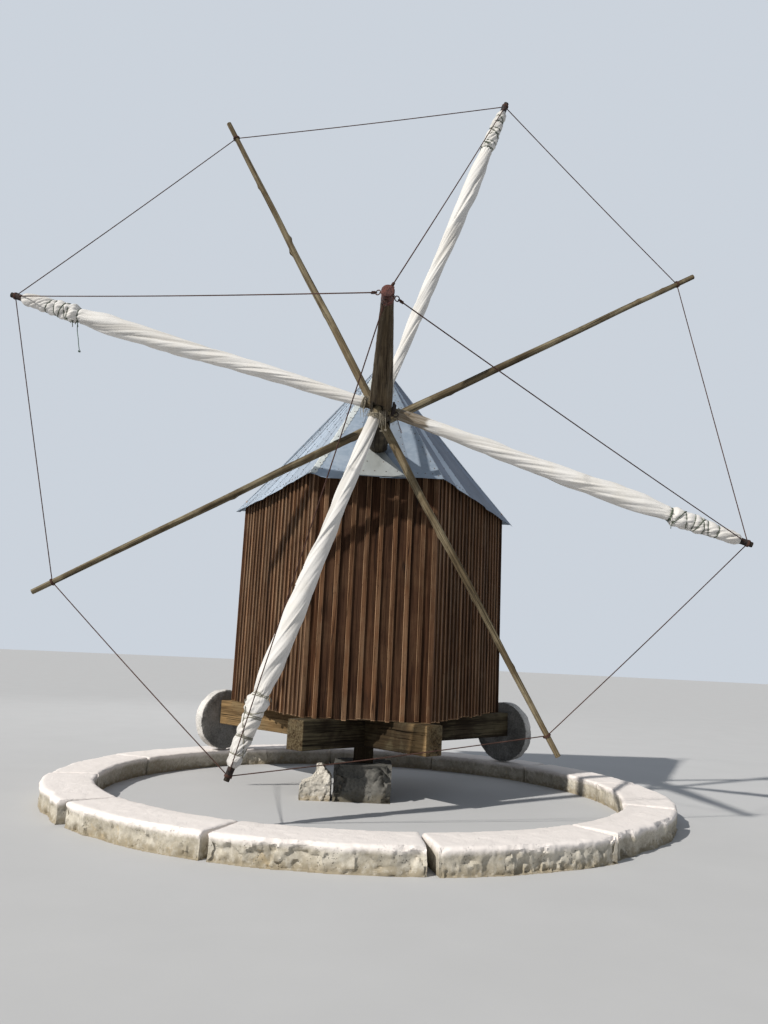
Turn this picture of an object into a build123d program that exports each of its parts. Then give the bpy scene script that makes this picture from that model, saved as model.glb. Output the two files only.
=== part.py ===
from build123d import *
from math import atan2, cos, degrees, radians, sin, sqrt, tan
import os

os.makedirs("parts", exist_ok=True)

# A wooden windmill whose whole house turns on a pivot stone and rolls on two stone
# wheels round a ring of stone blocks. Millimetres. The origin is at ground level on
# the pivot, the mill looks along -Y and +Z is up.

# Stone ring, which lies under the wheels' track
RING_TOP = 200.0
RING_WIDTH = 500.0
RING_INSIDE = 90.0
RING_STONES = 12
RING_START = 9.5
RING_WAVE = 18.0
RING_EDGE = 14.0

# Pivot in the middle of the ring
PIVOT_STONE_WIDTH = 600.0
PIVOT_STONE_HEIGHT = 360.0
PIVOT_STONE_EDGE = 15.0
PIVOT_BLOCK_WIDTH = 200.0
PIN_R = 30.0
PIN_UPPER_LENGTH = 170.0
PIN_LOWER_LENGTH = 110.0
BROKEN_STONE_LENGTH = 330.0
BROKEN_STONE_DEPTH = 300.0
BROKEN_STONE_HEIGHT = 370.0
BROKEN_STONE_LEDGE = 200.0

# Plan of the house at the outer face of its boards
FRONT_Y = -515.0
REAR_Y = 1865.0
FRONT_WIDTH = 1290.0
REAR_WIDTH = 3370.0
BOARD = 46.0
SILL_WIDTH = 120.0
SILL_HEIGHT = 120.0
FLOOR = 32.0
POST_WIDTH = 110.0
PLATE_HEIGHT = 190.0
PLATE_BOTTOM = 3180.0

# Diagonal beams that cross on the pivot
BEAM_BOTTOM = 525.0
BEAM_HEIGHT = 285.0
BEAM_WIDTH = 220.0
BEAM_FRONT_REACH = 993.0
BEAM_EDGE = 6.0

# Door in the rear wall
DOOR_WIDTH = 720.0
DOOR_HEIGHT = 1700.0
DOOR_GAP = 3.0

# Roof
EAVE_Z = 3240.0
APEX_Z = 4955.0
APEX_Y = 780.0
EAVE_FRONT = 125.0
EAVE_REAR = 125.0
EAVE_SIDE = 75.0
ROOF_DROP = 8.0
MAST_OPENING_R = 135.0

# Stone wheels
WHEEL_R = 370.0
WHEEL_THICKNESS = 150.0
WHEEL_EDGE = 12.0
WHEEL_GAP = 80.0
AXLE_R = 22.0
AXLE_COLLAR_R = 46.0
AXLE_COLLAR = 12.0
AXLE_IN_BEAM = 260.0
AXLE_SIDE_GAP = 3.0

# Mast
MAST_SLOPE = 4.4
HUB_Y = -1329.0
HUB_Z = 3714.0
MAST_WIDTH = 206.0
MAST_TIP_WIDTH = 92.0
MAST_REACH = 2250.0
HUB_FRONT = 400.0
HUB_BACK = 800.0
NECK_R = 98.0
TAIL_R = 60.0
CAP_LENGTH = 120.0
CAP_WALL = 7.0
CAP_END = 10.0
CAP_PIN_R = 38.0

# Bearings of the mast
NECK_Y = -110.0
TAIL_Y = 1440.0
BEARING_BEAM_WIDTH = 160.0
BEARING_BLOCK_WIDTH = 320.0
TAIL_OVERHANG = 60.0

# Four poles, each with the two arms that it makes and its place along the mast from the hub's middle
POLES = {"sail_pole_upright": "ac", "sail_pole_level": "bd", "bare_pole_steep": "eg", "bare_pole_flat": "fh"}
POLE_PLACES = {
    "sail_pole_upright": 260.0,
    "sail_pole_level": 100.0,
    "bare_pole_steep": -180.0,
    "bare_pole_flat": -330.0,
}

# Arms: angle clockwise from straight up, seen from the front, and length from the mast's axis
ARM_ANGLES = {"a": 18.9, "b": 285.0, "c": 198.3, "d": 108.5, "e": 331.6, "f": 60.6, "g": 151.0, "h": 239.9}
ARM_LENGTHS = {
    "a": 3480.0,
    "b": 3700.0,
    "c": 3540.0,
    "d": 3604.0,
    "e": 3670.0,
    "f": 3666.0,
    "g": 3510.0,
    "h": 3623.0,
}
SAIL_ARMS = "abcd"
POLE_ROOT_R = 42.0
POLE_TIP_R = 25.0
POLE_CORE = 150.0

# Furled sails. Each roll is pinched at a tie, which lies at a share of the arm's length.
# The pairs give a share of the way to the tie, or from it to the end, and a share of the radius.
SAIL_START = 165.0
SAIL_END_GAP = 175.0
SAIL_ROLL_R = 95.0
TIE_PLACES = {"a": 0.83, "b": 0.81, "c": 0.79, "d": 0.78}
ROLL_TO_TIE = [(0.0, 0.5), (0.15, 0.62), (0.43, 0.74), (0.74, 0.9), (0.9, 1.0), (1.0, 0.68)]
ROLL_FROM_TIE = [(0.25, 0.95), (0.6, 0.8), (1.0, 0.55)]

# Loose end of the cord tied round sail b: its route below the roll, and the knot on it
LOOSE_CORD_R = 4.0
LOOSE_CORD_GAP = 1.0
LOOSE_CORD_ROUTE = [(0, 0, 0), (2, -1, -58), (11, -5, -112), (27, -8, -168), (33, -3, -226), (46, 0, -280)]
ARC_SHARE = 0.45
KNOT_R = 11.0
KNOT_LENGTH = 24.0

# Bands and ropes
BAND_LENGTH = 70.0
BAND_WALL = 5.0
BAND_TIP_GAP = 90.0
ROPE_R = 5.0
LOOP_WALL = 9.0
LOOP_LENGTH = 26.0
SAIL_ROPE_GAP = 40.0
BARE_ROPE_GAP = 200.0
STAY_FROM_TIP = 45.0

# Clearances
RUNNING_FIT = 0.05
SEAT = 0.05
ROLLING_GAP = 0.3
SOFT_GAP = 0.3

BEAM_TOP = BEAM_BOTTOM + BEAM_HEIGHT
SILL_TOP = BEAM_TOP + SILL_HEIGHT
WHEEL_Z = RING_TOP + ROLLING_GAP + WHEEL_R
DIAGONAL = degrees(atan2(REAR_WIDTH / 2, REAR_Y))
TRACK_R = sqrt((REAR_WIDTH / 2) ** 2 + REAR_Y**2) + WHEEL_GAP + WHEEL_THICKNESS / 2
RING_INNER_R = TRACK_R - RING_INSIDE
RING_OUTER_R = RING_INNER_R + RING_WIDTH
BEAM_REAR_REACH = TRACK_R - WHEEL_THICKNESS / 2 - AXLE_COLLAR - AXLE_SIDE_GAP
PIVOT_BLOCK_TOP = BEAM_BOTTOM - ROLLING_GAP

ALONG_MAST = Vector(0, -cos(radians(MAST_SLOPE)), sin(radians(MAST_SLOPE)))
MAST = Plane(origin=(0, HUB_Y, HUB_Z), x_dir=(1, 0, 0), z_dir=ALONG_MAST)


def save(piece, name):
    piece.part.label = name
    export_step(piece.part, f"parts/{name}.step")


def house_plan(inset, front=None, rear=None):
    """Corners of the plan moved inwards: front left, front right, rear right, rear left."""
    front = inset if front is None else front
    rear = inset if rear is None else rear
    slant = (REAR_WIDTH - FRONT_WIDTH) / 2 / (REAR_Y - FRONT_Y)
    shift = inset * sqrt(1 + slant**2)

    def half_width(y):
        return FRONT_WIDTH / 2 + slant * (y - FRONT_Y) - shift

    near, far = FRONT_Y + front, REAR_Y - rear
    return [(-half_width(near), near), (half_width(near), near), (half_width(far), far), (-half_width(far), far)]


def side_band(outer, inner, side):
    """Mitred strip of the plan between two outlines along one side."""
    following = (side + 1) % 4
    return [outer[side], outer[following], inner[following], inner[side]]


EAVES = house_plan(-EAVE_SIDE, -EAVE_FRONT, -EAVE_REAR)
APEX = Vector(0, APEX_Y, APEX_Z)


def roof_plane(side, drop=0.0):
    """Plane of one roof side, its normal outwards, lowered by drop."""
    start = Vector(*EAVES[side], EAVE_Z)
    end = Vector(*EAVES[(side + 1) % 4], EAVE_Z)
    along = (end - start).normalized()
    return Plane(origin=APEX - Vector(0, 0, drop), x_dir=along, z_dir=along.cross(APEX - start))


def mast_axis_z(y):
    """Height of the mast's axis over a point of the plan."""
    return HUB_Z - (y - HUB_Y) * tan(radians(MAST_SLOPE))


def along_mast(y):
    """Distance from the hub's middle, forwards, of the axis point at y."""
    return -(y - HUB_Y) / cos(radians(MAST_SLOPE))


def beam_plane(turn, z=0.0):
    """Plane whose X runs from the pivot to one rear corner. turn is 1 for the right corner."""
    heading = radians(90 - turn * DIAGONAL)
    return Plane(origin=(0, 0, z), x_dir=(cos(heading), sin(heading), 0), z_dir=(0, 0, 1))


def wheel_plane(turn, reach):
    """Plane across one wheel's axle at a distance from the pivot, facing outwards."""
    heading = radians(90 - turn * DIAGONAL)
    outwards = Vector(cos(heading), sin(heading), 0)
    return Plane(origin=outwards * reach + Vector(0, 0, WHEEL_Z), x_dir=(0, 0, 1), z_dir=outwards)


def arm_plane(arm):
    """Plane across one arm at the mast's axis, facing the arm's tip."""
    place = next(POLE_PLACES[pole] for pole, pair in POLES.items() if arm in pair)
    angle = radians(ARM_ANGLES[arm])
    direction = MAST.x_dir * sin(angle) + MAST.y_dir * cos(angle)
    return Plane(origin=MAST.origin + ALONG_MAST * place, x_dir=ALONG_MAST, z_dir=direction)


def pole_radius(arm, reach):
    """Radius of a pole, which tapers from its core in the mast to its tip."""
    return POLE_ROOT_R + (POLE_TIP_R - POLE_ROOT_R) * (reach - POLE_CORE) / (ARM_LENGTHS[arm] - POLE_CORE)


def pole_section(arm, reach, outwards, growth=0.0):
    """Round section of a pole at a distance from the mast's axis."""
    plane = arm_plane(arm)
    heading = plane.z_dir if outwards else -plane.z_dir
    with BuildSketch(Plane(origin=plane.origin + plane.z_dir * reach, x_dir=ALONG_MAST, z_dir=heading)) as section:
        Circle(pole_radius(arm, reach) + growth)
    return section.sketch


def ring_round_arm(arm, start, length, inner_gap, wall):
    """Sleeve round one arm, following its taper."""
    plane = arm_plane(arm)
    profile = Plane(origin=plane.origin, x_dir=plane.z_dir, z_dir=plane.y_dir)
    end = start + length
    with BuildSketch(profile) as section:
        Polygon(
            (start, pole_radius(arm, start) + inner_gap),
            (end, pole_radius(arm, end) + inner_gap),
            (end, pole_radius(arm, end) + wall),
            (start, pole_radius(arm, start) + wall),
            align=None,
        )
    revolve(section.sketch, axis=Axis(plane.origin, plane.z_dir))


def rope_reach(arm):
    """Distance from the mast's axis at which the ropes are tied to one arm."""
    return ARM_LENGTHS[arm] - (SAIL_ROPE_GAP if arm in SAIL_ARMS else BARE_ROPE_GAP)


def rope_point(arm):
    plane = arm_plane(arm)
    return plane.origin + plane.z_dir * rope_reach(arm)


def rope_run(start, end):
    """Straight taut rope between two points."""
    run = end - start
    with BuildSketch(Plane(origin=start, z_dir=run)) as section:
        Circle(ROPE_R)
    extrude(section.sketch, amount=run.length)


def clear_of_loop(arm):
    """Takes away what would reach into the loop tied round one arm."""
    reach = rope_reach(arm)
    with BuildSketch(arm_plane(arm).offset(reach - 3 * LOOP_LENGTH)) as section:
        Circle(pole_radius(arm, reach - LOOP_LENGTH / 2) + LOOP_WALL + SOFT_GAP)
    extrude(section.sketch, amount=6 * LOOP_LENGTH, mode=Mode.SUBTRACT)


# Ring stones
for number in range(RING_STONES):
    sweep_angle = 360.0 / RING_STONES
    start_angle = RING_START + sweep_angle * number
    outer_r = RING_OUTER_R + RING_WAVE * sin(2.3 * number)
    inner_r = RING_INNER_R - RING_WAVE * sin(1.7 * number + 1)
    with BuildPart() as ring_stone:
        with BuildSketch():
            with BuildLine():
                inner_arc = CenterArc((0, 0), inner_r, start_angle, sweep_angle)
                outer_arc = CenterArc((0, 0), outer_r, start_angle, sweep_angle)
                Line(inner_arc @ 0, outer_arc @ 0)
                Line(inner_arc @ 1, outer_arc @ 1)
            make_face()
        extrude(amount=RING_TOP)
        chamfer(ring_stone.edges().group_by(Axis.Z)[-1], RING_EDGE)
    save(ring_stone, f"ring_stone_{number + 1:02d}")

# Pivot stone, the block on it and the pin that the house turns on
with BuildPart() as pivot_stone:
    with BuildSketch():
        Rectangle(PIVOT_STONE_WIDTH, PIVOT_STONE_WIDTH)
    extrude(amount=PIVOT_STONE_HEIGHT)
    chamfer(pivot_stone.edges().group_by(Axis.Z)[-1], PIVOT_STONE_EDGE)
save(pivot_stone, "pivot_stone")

with BuildPart() as pivot_block:
    with BuildSketch(Plane.XY.offset(PIVOT_STONE_HEIGHT)):
        Rectangle(PIVOT_BLOCK_WIDTH, PIVOT_BLOCK_WIDTH)
    extrude(amount=PIVOT_BLOCK_TOP - PIVOT_STONE_HEIGHT)
    with BuildSketch(Plane.XY.offset(PIVOT_BLOCK_TOP)):
        Circle(PIN_R + SEAT)
    extrude(amount=-PIN_LOWER_LENGTH, mode=Mode.SUBTRACT)
save(pivot_block, "pivot_block")

with BuildPart() as pivot_pin:
    with BuildSketch(Plane.XY.offset(PIVOT_BLOCK_TOP - PIN_LOWER_LENGTH)):
        Circle(PIN_R)
    extrude(amount=PIN_LOWER_LENGTH + PIN_UPPER_LENGTH)
    chamfer(pivot_pin.edges().group_by(Axis.Z)[-1], PIN_R / 6)
save(pivot_pin, "pivot_pin")

# Broken stone beside the pivot stone: a low block whose right side rises to a horn
with BuildPart() as broken_stone:
    for height, share in ((0, 1.0), (BROKEN_STONE_LEDGE, 0.9), (BROKEN_STONE_HEIGHT, 0.4)):
        with BuildSketch(Plane.XY.offset(height)):
            with Locations((-PIVOT_STONE_WIDTH / 2 - BROKEN_STONE_LENGTH * share / 2, -BROKEN_STONE_DEPTH / 2)):
                Rectangle(BROKEN_STONE_LENGTH * share, BROKEN_STONE_DEPTH * share)
    loft(ruled=True)
save(broken_stone, "broken_stone")

# Diagonal beams, half-lapped where they cross on the pin
for name, turn in (("diagonal_beam_left", -1), ("diagonal_beam_right", 1)):
    length = BEAM_FRONT_REACH + BEAM_REAR_REACH
    middle = (BEAM_REAR_REACH - BEAM_FRONT_REACH) / 2
    lap_bottom = BEAM_BOTTOM if turn < 0 else BEAM_BOTTOM + BEAM_HEIGHT / 2
    with BuildPart() as beam:
        with BuildSketch(beam_plane(turn, BEAM_BOTTOM)):
            with Locations((middle, 0)):
                Rectangle(length, BEAM_WIDTH)
        extrude(amount=BEAM_HEIGHT)
        chamfer(beam.edges().filter_by(Axis(beam_plane(turn).origin, beam_plane(turn).x_dir)), BEAM_EDGE)
        with BuildSketch(beam_plane(-turn, lap_bottom)):
            Rectangle(2 * BEAM_WIDTH, BEAM_WIDTH)
        extrude(amount=BEAM_HEIGHT / 2, mode=Mode.SUBTRACT)
        with BuildSketch(Plane.XY.offset(BEAM_BOTTOM)):
            Circle(PIN_R + RUNNING_FIT)
        extrude(amount=BEAM_HEIGHT, mode=Mode.SUBTRACT)
        with BuildSketch(wheel_plane(turn, BEAM_REAR_REACH)):
            Circle(AXLE_R + SEAT)
        extrude(amount=-AXLE_IN_BEAM, mode=Mode.SUBTRACT)
    save(beam, name)

# Axles fixed in the beams' rear ends, with a collar on each side of the wheel
with BuildPart() as wheel_axles:
    for turn in (-1, 1):
        inner_face = TRACK_R - WHEEL_THICKNESS / 2
        outer_collar = TRACK_R + WHEEL_THICKNESS / 2 + AXLE_SIDE_GAP
        with BuildSketch(wheel_plane(turn, BEAM_REAR_REACH - AXLE_IN_BEAM)):
            Circle(AXLE_R)
        extrude(amount=outer_collar + 2 * AXLE_COLLAR - BEAM_REAR_REACH + AXLE_IN_BEAM)
        for collar_start in (BEAM_REAR_REACH, outer_collar):
            with BuildSketch(wheel_plane(turn, collar_start)):
                Circle(AXLE_COLLAR_R)
            extrude(amount=AXLE_COLLAR)
save(wheel_axles, "wheel_axles")

for name, turn in (("wheel_left", -1), ("wheel_right", 1)):
    with BuildPart() as wheel:
        with BuildSketch(wheel_plane(turn, TRACK_R - WHEEL_THICKNESS / 2)):
            Circle(WHEEL_R)
        extrude(amount=WHEEL_THICKNESS)
        chamfer(wheel.edges(), WHEEL_EDGE)
        with BuildSketch(wheel_plane(turn, TRACK_R - WHEEL_THICKNESS / 2)):
            Circle(AXLE_R + RUNNING_FIT)
        extrude(amount=WHEEL_THICKNESS, mode=Mode.SUBTRACT)
    save(wheel, name)

# Sills, floor, posts and plates
BOARD_FACE = house_plan(0)
FRAME_FACE = house_plan(BOARD)
ROOM_FACE = house_plan(BOARD + SILL_WIDTH)
SIDES = ("front", "right", "rear", "left")

for name, sides in (("end_sills", (0, 2)), ("side_sills", (1, 3))):
    with BuildPart() as sills:
        with BuildSketch(Plane.XY.offset(BEAM_TOP)):
            for side in sides:
                Polygon(*side_band(FRAME_FACE, ROOM_FACE, side), align=None)
        extrude(amount=SILL_HEIGHT)
    save(sills, name)

with BuildPart() as floor_boards:
    with BuildSketch(Plane.XY.offset(BEAM_TOP)):
        Polygon(*ROOM_FACE, align=None)
    extrude(amount=FLOOR)
save(floor_boards, "floor_boards")

with BuildPart() as corner_posts:
    post_plan = house_plan(BOARD + POST_WIDTH, BOARD + POST_WIDTH / 2, BOARD + POST_WIDTH / 2)
    with BuildSketch(Plane.XY.offset(SILL_TOP)):
        with Locations(*post_plan):
            Rectangle(POST_WIDTH, POST_WIDTH)
    extrude(amount=PLATE_BOTTOM - SILL_TOP)
save(corner_posts, "corner_posts")

for name, sides in (("end_plates", (0, 2)), ("side_plates", (1, 3))):
    with BuildPart() as plates:
        with BuildSketch(Plane.XY.offset(PLATE_BOTTOM)):
            for side in sides:
                Polygon(*side_band(FRAME_FACE, ROOM_FACE, side), align=None)
        extrude(amount=PLATE_HEIGHT)
        for side in range(4):
            split(bisect_by=roof_plane(side, ROOF_DROP), keep=Keep.BOTTOM)
    save(plates, name)

# Walls of upright boards, bevelled under the roof, with a closed door in the rear wall
for side, side_name in enumerate(SIDES):
    with BuildPart() as wall:
        with BuildSketch(Plane.XY.offset(BEAM_TOP)):
            Polygon(*side_band(BOARD_FACE, FRAME_FACE, side), align=None)
        extrude(amount=PLATE_BOTTOM + 2 * PLATE_HEIGHT - BEAM_TOP)
        for roof_side in range(4):
            split(bisect_by=roof_plane(roof_side, ROOF_DROP), keep=Keep.BOTTOM)
        if side_name == "rear":
            with BuildSketch(Plane.XY.offset(SILL_TOP)):
                with Locations((0, REAR_Y - BOARD / 2)):
                    Rectangle(DOOR_WIDTH + 2 * DOOR_GAP, 2 * BOARD)
            extrude(amount=DOOR_HEIGHT + DOOR_GAP, mode=Mode.SUBTRACT)
    save(wall, f"{side_name}_wall")

with BuildPart() as rear_door:
    with BuildSketch(Plane.XY.offset(SILL_TOP)):
        with Locations((0, REAR_Y - BOARD / 2)):
            Rectangle(DOOR_WIDTH, BOARD)
    extrude(amount=DOOR_HEIGHT)
save(rear_door, "rear_door")

# Roof of four sides on one point, the front one open where the mast comes out
for side, side_name in enumerate(SIDES):
    with BuildPart() as roof:
        with BuildSketch(Plane.XY.offset(EAVE_Z)):
            Polygon(EAVES[side], EAVES[(side + 1) % 4], (APEX.X, APEX.Y), align=None)
        extrude(amount=APEX_Z - EAVE_Z)
        split(bisect_by=roof_plane(side), keep=Keep.BOTTOM)
        split(bisect_by=roof_plane(side, ROOF_DROP), keep=Keep.TOP)
        if side_name == "front":
            with BuildSketch(MAST.offset(along_mast(FRONT_Y - EAVE_FRONT))):
                Circle(MAST_OPENING_R)
            extrude(amount=FRONT_Y - EAVE_FRONT - APEX_Y, mode=Mode.SUBTRACT)
    save(roof, f"{side_name}_roof")

# Beams and blocks that carry the mast at its neck and tail
BEARINGS = {NECK_Y: NECK_R, TAIL_Y: TAIL_R}
with BuildPart() as bearing_beams:
    with BuildSketch(Plane.XY.offset(PLATE_BOTTOM)):
        for y in BEARINGS:
            near, far = y - BEARING_BEAM_WIDTH / 2, y + BEARING_BEAM_WIDTH / 2
            inset = BOARD + SILL_WIDTH
            strip = house_plan(inset, near - FRONT_Y, REAR_Y - far)
            Polygon(*strip, align=None)
    extrude(amount=PLATE_HEIGHT)
save(bearing_beams, "bearing_beams")

with BuildPart() as bearing_blocks:
    for y, journal_r in BEARINGS.items():
        block_bottom = PLATE_BOTTOM + PLATE_HEIGHT
        with BuildSketch(Plane.XY.offset(block_bottom)):
            with Locations((0, y)):
                Rectangle(BEARING_BLOCK_WIDTH, BEARING_BEAM_WIDTH)
        extrude(amount=mast_axis_z(y) - block_bottom)
        with BuildSketch(MAST.offset(along_mast(y - BEARING_BEAM_WIDTH))):
            Circle(journal_r + RUNNING_FIT)
        extrude(amount=-2 * BEARING_BEAM_WIDTH, mode=Mode.SUBTRACT)
save(bearing_blocks, "bearing_blocks")

# Mast: eight-sided and tapered in front, round behind the hub, mortised for the poles
with BuildPart() as mast:
    for start, end, start_width, end_width in (
        (-HUB_BACK, HUB_FRONT, MAST_WIDTH, MAST_WIDTH),
        (HUB_FRONT, MAST_REACH - CAP_LENGTH, MAST_WIDTH, MAST_TIP_WIDTH),
    ):
        with BuildSketch(MAST.offset(start)):
            RegularPolygon(start_width / 2, 8, major_radius=False, rotation=22.5)
        with BuildSketch(MAST.offset(end)):
            RegularPolygon(end_width / 2, 8, major_radius=False, rotation=22.5)
        loft(ruled=True)
    with BuildSketch(MAST.offset(MAST_REACH - CAP_LENGTH)):
        Circle(CAP_PIN_R)
    extrude(amount=CAP_LENGTH)
    neck_end = along_mast(NECK_Y + BEARING_BEAM_WIDTH)
    tail_start = along_mast(TAIL_Y - BEARING_BEAM_WIDTH)
    with BuildSketch(MAST.offset(-HUB_BACK)):
        Circle(NECK_R)
    extrude(amount=neck_end + HUB_BACK)
    with BuildSketch(MAST.offset(neck_end)):
        Circle(NECK_R)
    with BuildSketch(MAST.offset(tail_start)):
        Circle(TAIL_R)
    loft(ruled=True)
    with BuildSketch(MAST.offset(tail_start)):
        Circle(TAIL_R)
    extrude(amount=along_mast(TAIL_Y + BEARING_BEAM_WIDTH / 2 + TAIL_OVERHANG) - tail_start)
    for pair in POLES.values():
        core = [pole_section(arm, POLE_CORE, arm == pair[1], SEAT) for arm in pair]
        loft(core, ruled=True, mode=Mode.SUBTRACT)
save(mast, "mast")

# Poles: each runs through the mast and is an arm at both ends
for name, pair in POLES.items():
    first, last = pair
    with BuildPart() as pole:
        loft(
            [
                pole_section(first, ARM_LENGTHS[first], False),
                pole_section(first, POLE_CORE, False),
                pole_section(last, POLE_CORE, True),
                pole_section(last, ARM_LENGTHS[last], True),
            ],
            ruled=True,
        )
    save(pole, name)

# Sails furled round four of the arms
for arm in SAIL_ARMS:
    sail_plane = arm_plane(arm)
    profile = Plane(origin=sail_plane.origin, x_dir=sail_plane.z_dir, z_dir=sail_plane.y_dir)
    tie = ARM_LENGTHS[arm] * TIE_PLACES[arm]
    end = ARM_LENGTHS[arm] - SAIL_END_GAP
    roll = [(SAIL_START + (tie - SAIL_START) * share, SAIL_ROLL_R * swell) for share, swell in ROLL_TO_TIE]
    roll += [(tie + (end - tie) * share, SAIL_ROLL_R * swell) for share, swell in ROLL_FROM_TIE]
    ends = [(reach, pole_radius(arm, reach) + SOFT_GAP) for reach in (end, SAIL_START)]
    with BuildPart() as furled_sail:
        with BuildSketch(profile):
            Polygon(*roll, *ends, align=None)
        revolve(axis=Axis(sail_plane.origin, sail_plane.z_dir))
    save(furled_sail, f"furled_sail_{arm}")

tie_plane = arm_plane("b")
tie_middle = tie_plane.origin + tie_plane.z_dir * ARM_LENGTHS["b"] * TIE_PLACES["b"]
cord_exit = tie_middle - tie_plane.y_dir * (SAIL_ROLL_R * ROLL_TO_TIE[-1][1] + LOOSE_CORD_GAP)
cord_points = [cord_exit + Vector(*offset) for offset in LOOSE_CORD_ROUTE]
cord_runs = [end - start for start, end in zip(cord_points, cord_points[1:])]
cord_arcs = [
    ARC_SHARE * min(run.length, following.length) / tan(radians(run.get_angle(following) / 2))
    for run, following in zip(cord_runs, cord_runs[1:])
]
print("cord arcs", [round(arc) for arc in cord_arcs])
with BuildPart() as loose_cord:
    with BuildLine() as cord_line:
        FilletPolyline(*cord_points, radius=cord_arcs)
    with BuildSketch(Plane(origin=cord_exit, z_dir=cord_runs[0])):
        Circle(LOOSE_CORD_R)
    sweep()
save(loose_cord, "loose_cord")

with BuildPart() as cord_knot:
    with BuildSketch(Plane(origin=cord_points[-1], z_dir=cord_runs[-1])):
        Circle(KNOT_R)
    extrude(amount=KNOT_LENGTH)
    chamfer(cord_knot.edges(), KNOT_R / 3)
save(cord_knot, "cord_knot")

with BuildPart() as tip_bands:
    for arm in SAIL_ARMS:
        ring_round_arm(arm, ARM_LENGTHS[arm] - BAND_TIP_GAP - BAND_LENGTH, BAND_LENGTH, SEAT, BAND_WALL)
save(tip_bands, "tip_bands")

# Iron cap on the mast's tip
with BuildPart() as mast_cap:
    with BuildSketch(MAST.offset(MAST_REACH - CAP_LENGTH + SEAT)):
        Circle(CAP_PIN_R + CAP_WALL)
    extrude(amount=CAP_LENGTH + CAP_END)
    with BuildSketch(MAST.offset(MAST_REACH - CAP_LENGTH + SEAT)):
        Circle(CAP_PIN_R + SEAT)
    extrude(amount=CAP_LENGTH, mode=Mode.SUBTRACT)
save(mast_cap, "mast_cap")

# Rope from tip to tip, tied in a loop round each arm
with BuildPart() as rope_loops:
    for arm in ARM_LENGTHS:
        ring_round_arm(arm, rope_reach(arm) - LOOP_LENGTH / 2, LOOP_LENGTH, SOFT_GAP, LOOP_WALL)
save(rope_loops, "rope_loops")

ORDER = sorted(ARM_ANGLES, key=ARM_ANGLES.get)
with BuildPart() as rim_ropes:
    for arm, following in zip(ORDER, ORDER[1:] + ORDER[:1]):
        rope_run(rope_point(arm), rope_point(following))
    for arm in ARM_LENGTHS:
        clear_of_loop(arm)
save(rim_ropes, "rim_ropes")

# Stays from the cap on the mast's tip to the four sail arms
with BuildPart() as fore_stays:
    stay_start = MAST.origin + ALONG_MAST * (MAST_REACH - STAY_FROM_TIP)
    for arm in SAIL_ARMS:
        rope_run(stay_start, rope_point(arm))
    for arm in SAIL_ARMS:
        clear_of_loop(arm)
    with BuildSketch(MAST.offset(MAST_REACH - CAP_LENGTH)):
        Circle(CAP_PIN_R + CAP_WALL + SOFT_GAP)
    extrude(amount=2 * CAP_LENGTH, mode=Mode.SUBTRACT)
save(fore_stays, "fore_stays")
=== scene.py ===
import random
from bisect import bisect
from contextlib import contextmanager
from math import atan2, ceil, cos, exp, hypot, pi, radians, sin, sqrt, tau

import bmesh
import bpy
from mathutils import Matrix, Vector, kdtree, noise


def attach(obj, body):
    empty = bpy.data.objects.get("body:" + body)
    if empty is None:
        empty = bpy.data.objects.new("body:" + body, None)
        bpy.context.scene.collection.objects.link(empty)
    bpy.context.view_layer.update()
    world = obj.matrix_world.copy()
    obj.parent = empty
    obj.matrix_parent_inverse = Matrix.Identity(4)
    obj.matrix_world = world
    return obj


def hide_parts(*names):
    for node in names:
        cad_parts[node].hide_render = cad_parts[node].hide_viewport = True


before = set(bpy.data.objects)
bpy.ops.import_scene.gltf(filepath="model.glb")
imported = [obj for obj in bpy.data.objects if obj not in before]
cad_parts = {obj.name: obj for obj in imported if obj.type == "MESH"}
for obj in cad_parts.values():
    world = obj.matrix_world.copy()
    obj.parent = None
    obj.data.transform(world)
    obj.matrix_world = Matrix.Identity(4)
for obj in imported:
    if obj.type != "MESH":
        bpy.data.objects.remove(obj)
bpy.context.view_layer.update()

# Sizes that the part's source has too, in metres
RING_TOP = 0.200
RING_STONES = 12
RING_START = 9.5
RING_WAVE = 0.018
FRONT_Y, REAR_Y = -0.515, 1.865
FRONT_WIDTH, REAR_WIDTH = 1.290, 3.370
WALL = 0.046
SILL = 0.120
BEAM_BOTTOM, BEAM_HEIGHT, BEAM_WIDTH = 0.525, 0.285, 0.220
BEAM_TOP = BEAM_BOTTOM + BEAM_HEIGHT
BEAM_FRONT_REACH = 0.993
SILL_TOP = BEAM_TOP + SILL
FLOOR = 0.032
DOOR_WIDTH, DOOR_HEIGHT, DOOR_GAP = 0.720, 1.700, 0.003
EAVE_Z = 3.240
APEX = Vector((0, 0.780, 4.955))
EAVE_FRONT, EAVE_SIDE = 0.125, 0.075
ROOF_DROP = 0.008
MAST_OPENING_R = 0.135
WHEEL_R, WHEEL_THICKNESS = 0.370, 0.150
TRACK_R = hypot(REAR_WIDTH / 2, REAR_Y) + 0.080 + WHEEL_THICKNESS / 2
WHEEL_Z = RING_TOP + 0.0003 + WHEEL_R
RING_INNER_R = TRACK_R - 0.090
RING_OUTER_R = RING_INNER_R + 0.500
DIAGONAL = atan2(REAR_WIDTH / 2, REAR_Y)
BEAM_REAR_REACH = TRACK_R - WHEEL_THICKNESS / 2 - 0.015
AXLE_R = 0.022
MAST_SLOPE = radians(4.4)
HUB = Vector((0, -1.329, 3.714))
FORWARD = Vector((0, -cos(MAST_SLOPE), sin(MAST_SLOPE)))
MAST_UP = Vector((0, sin(MAST_SLOPE), cos(MAST_SLOPE)))
MAST_WIDTH, MAST_TIP_WIDTH = 0.206, 0.092
MAST_REACH, HUB_FRONT, HUB_BACK = 2.250, 0.400, 0.800
CAP_LENGTH = 0.120
MAST_FRONT = MAST_REACH - CAP_LENGTH
NECK_R, TAIL_R = 0.098, 0.060
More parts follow.
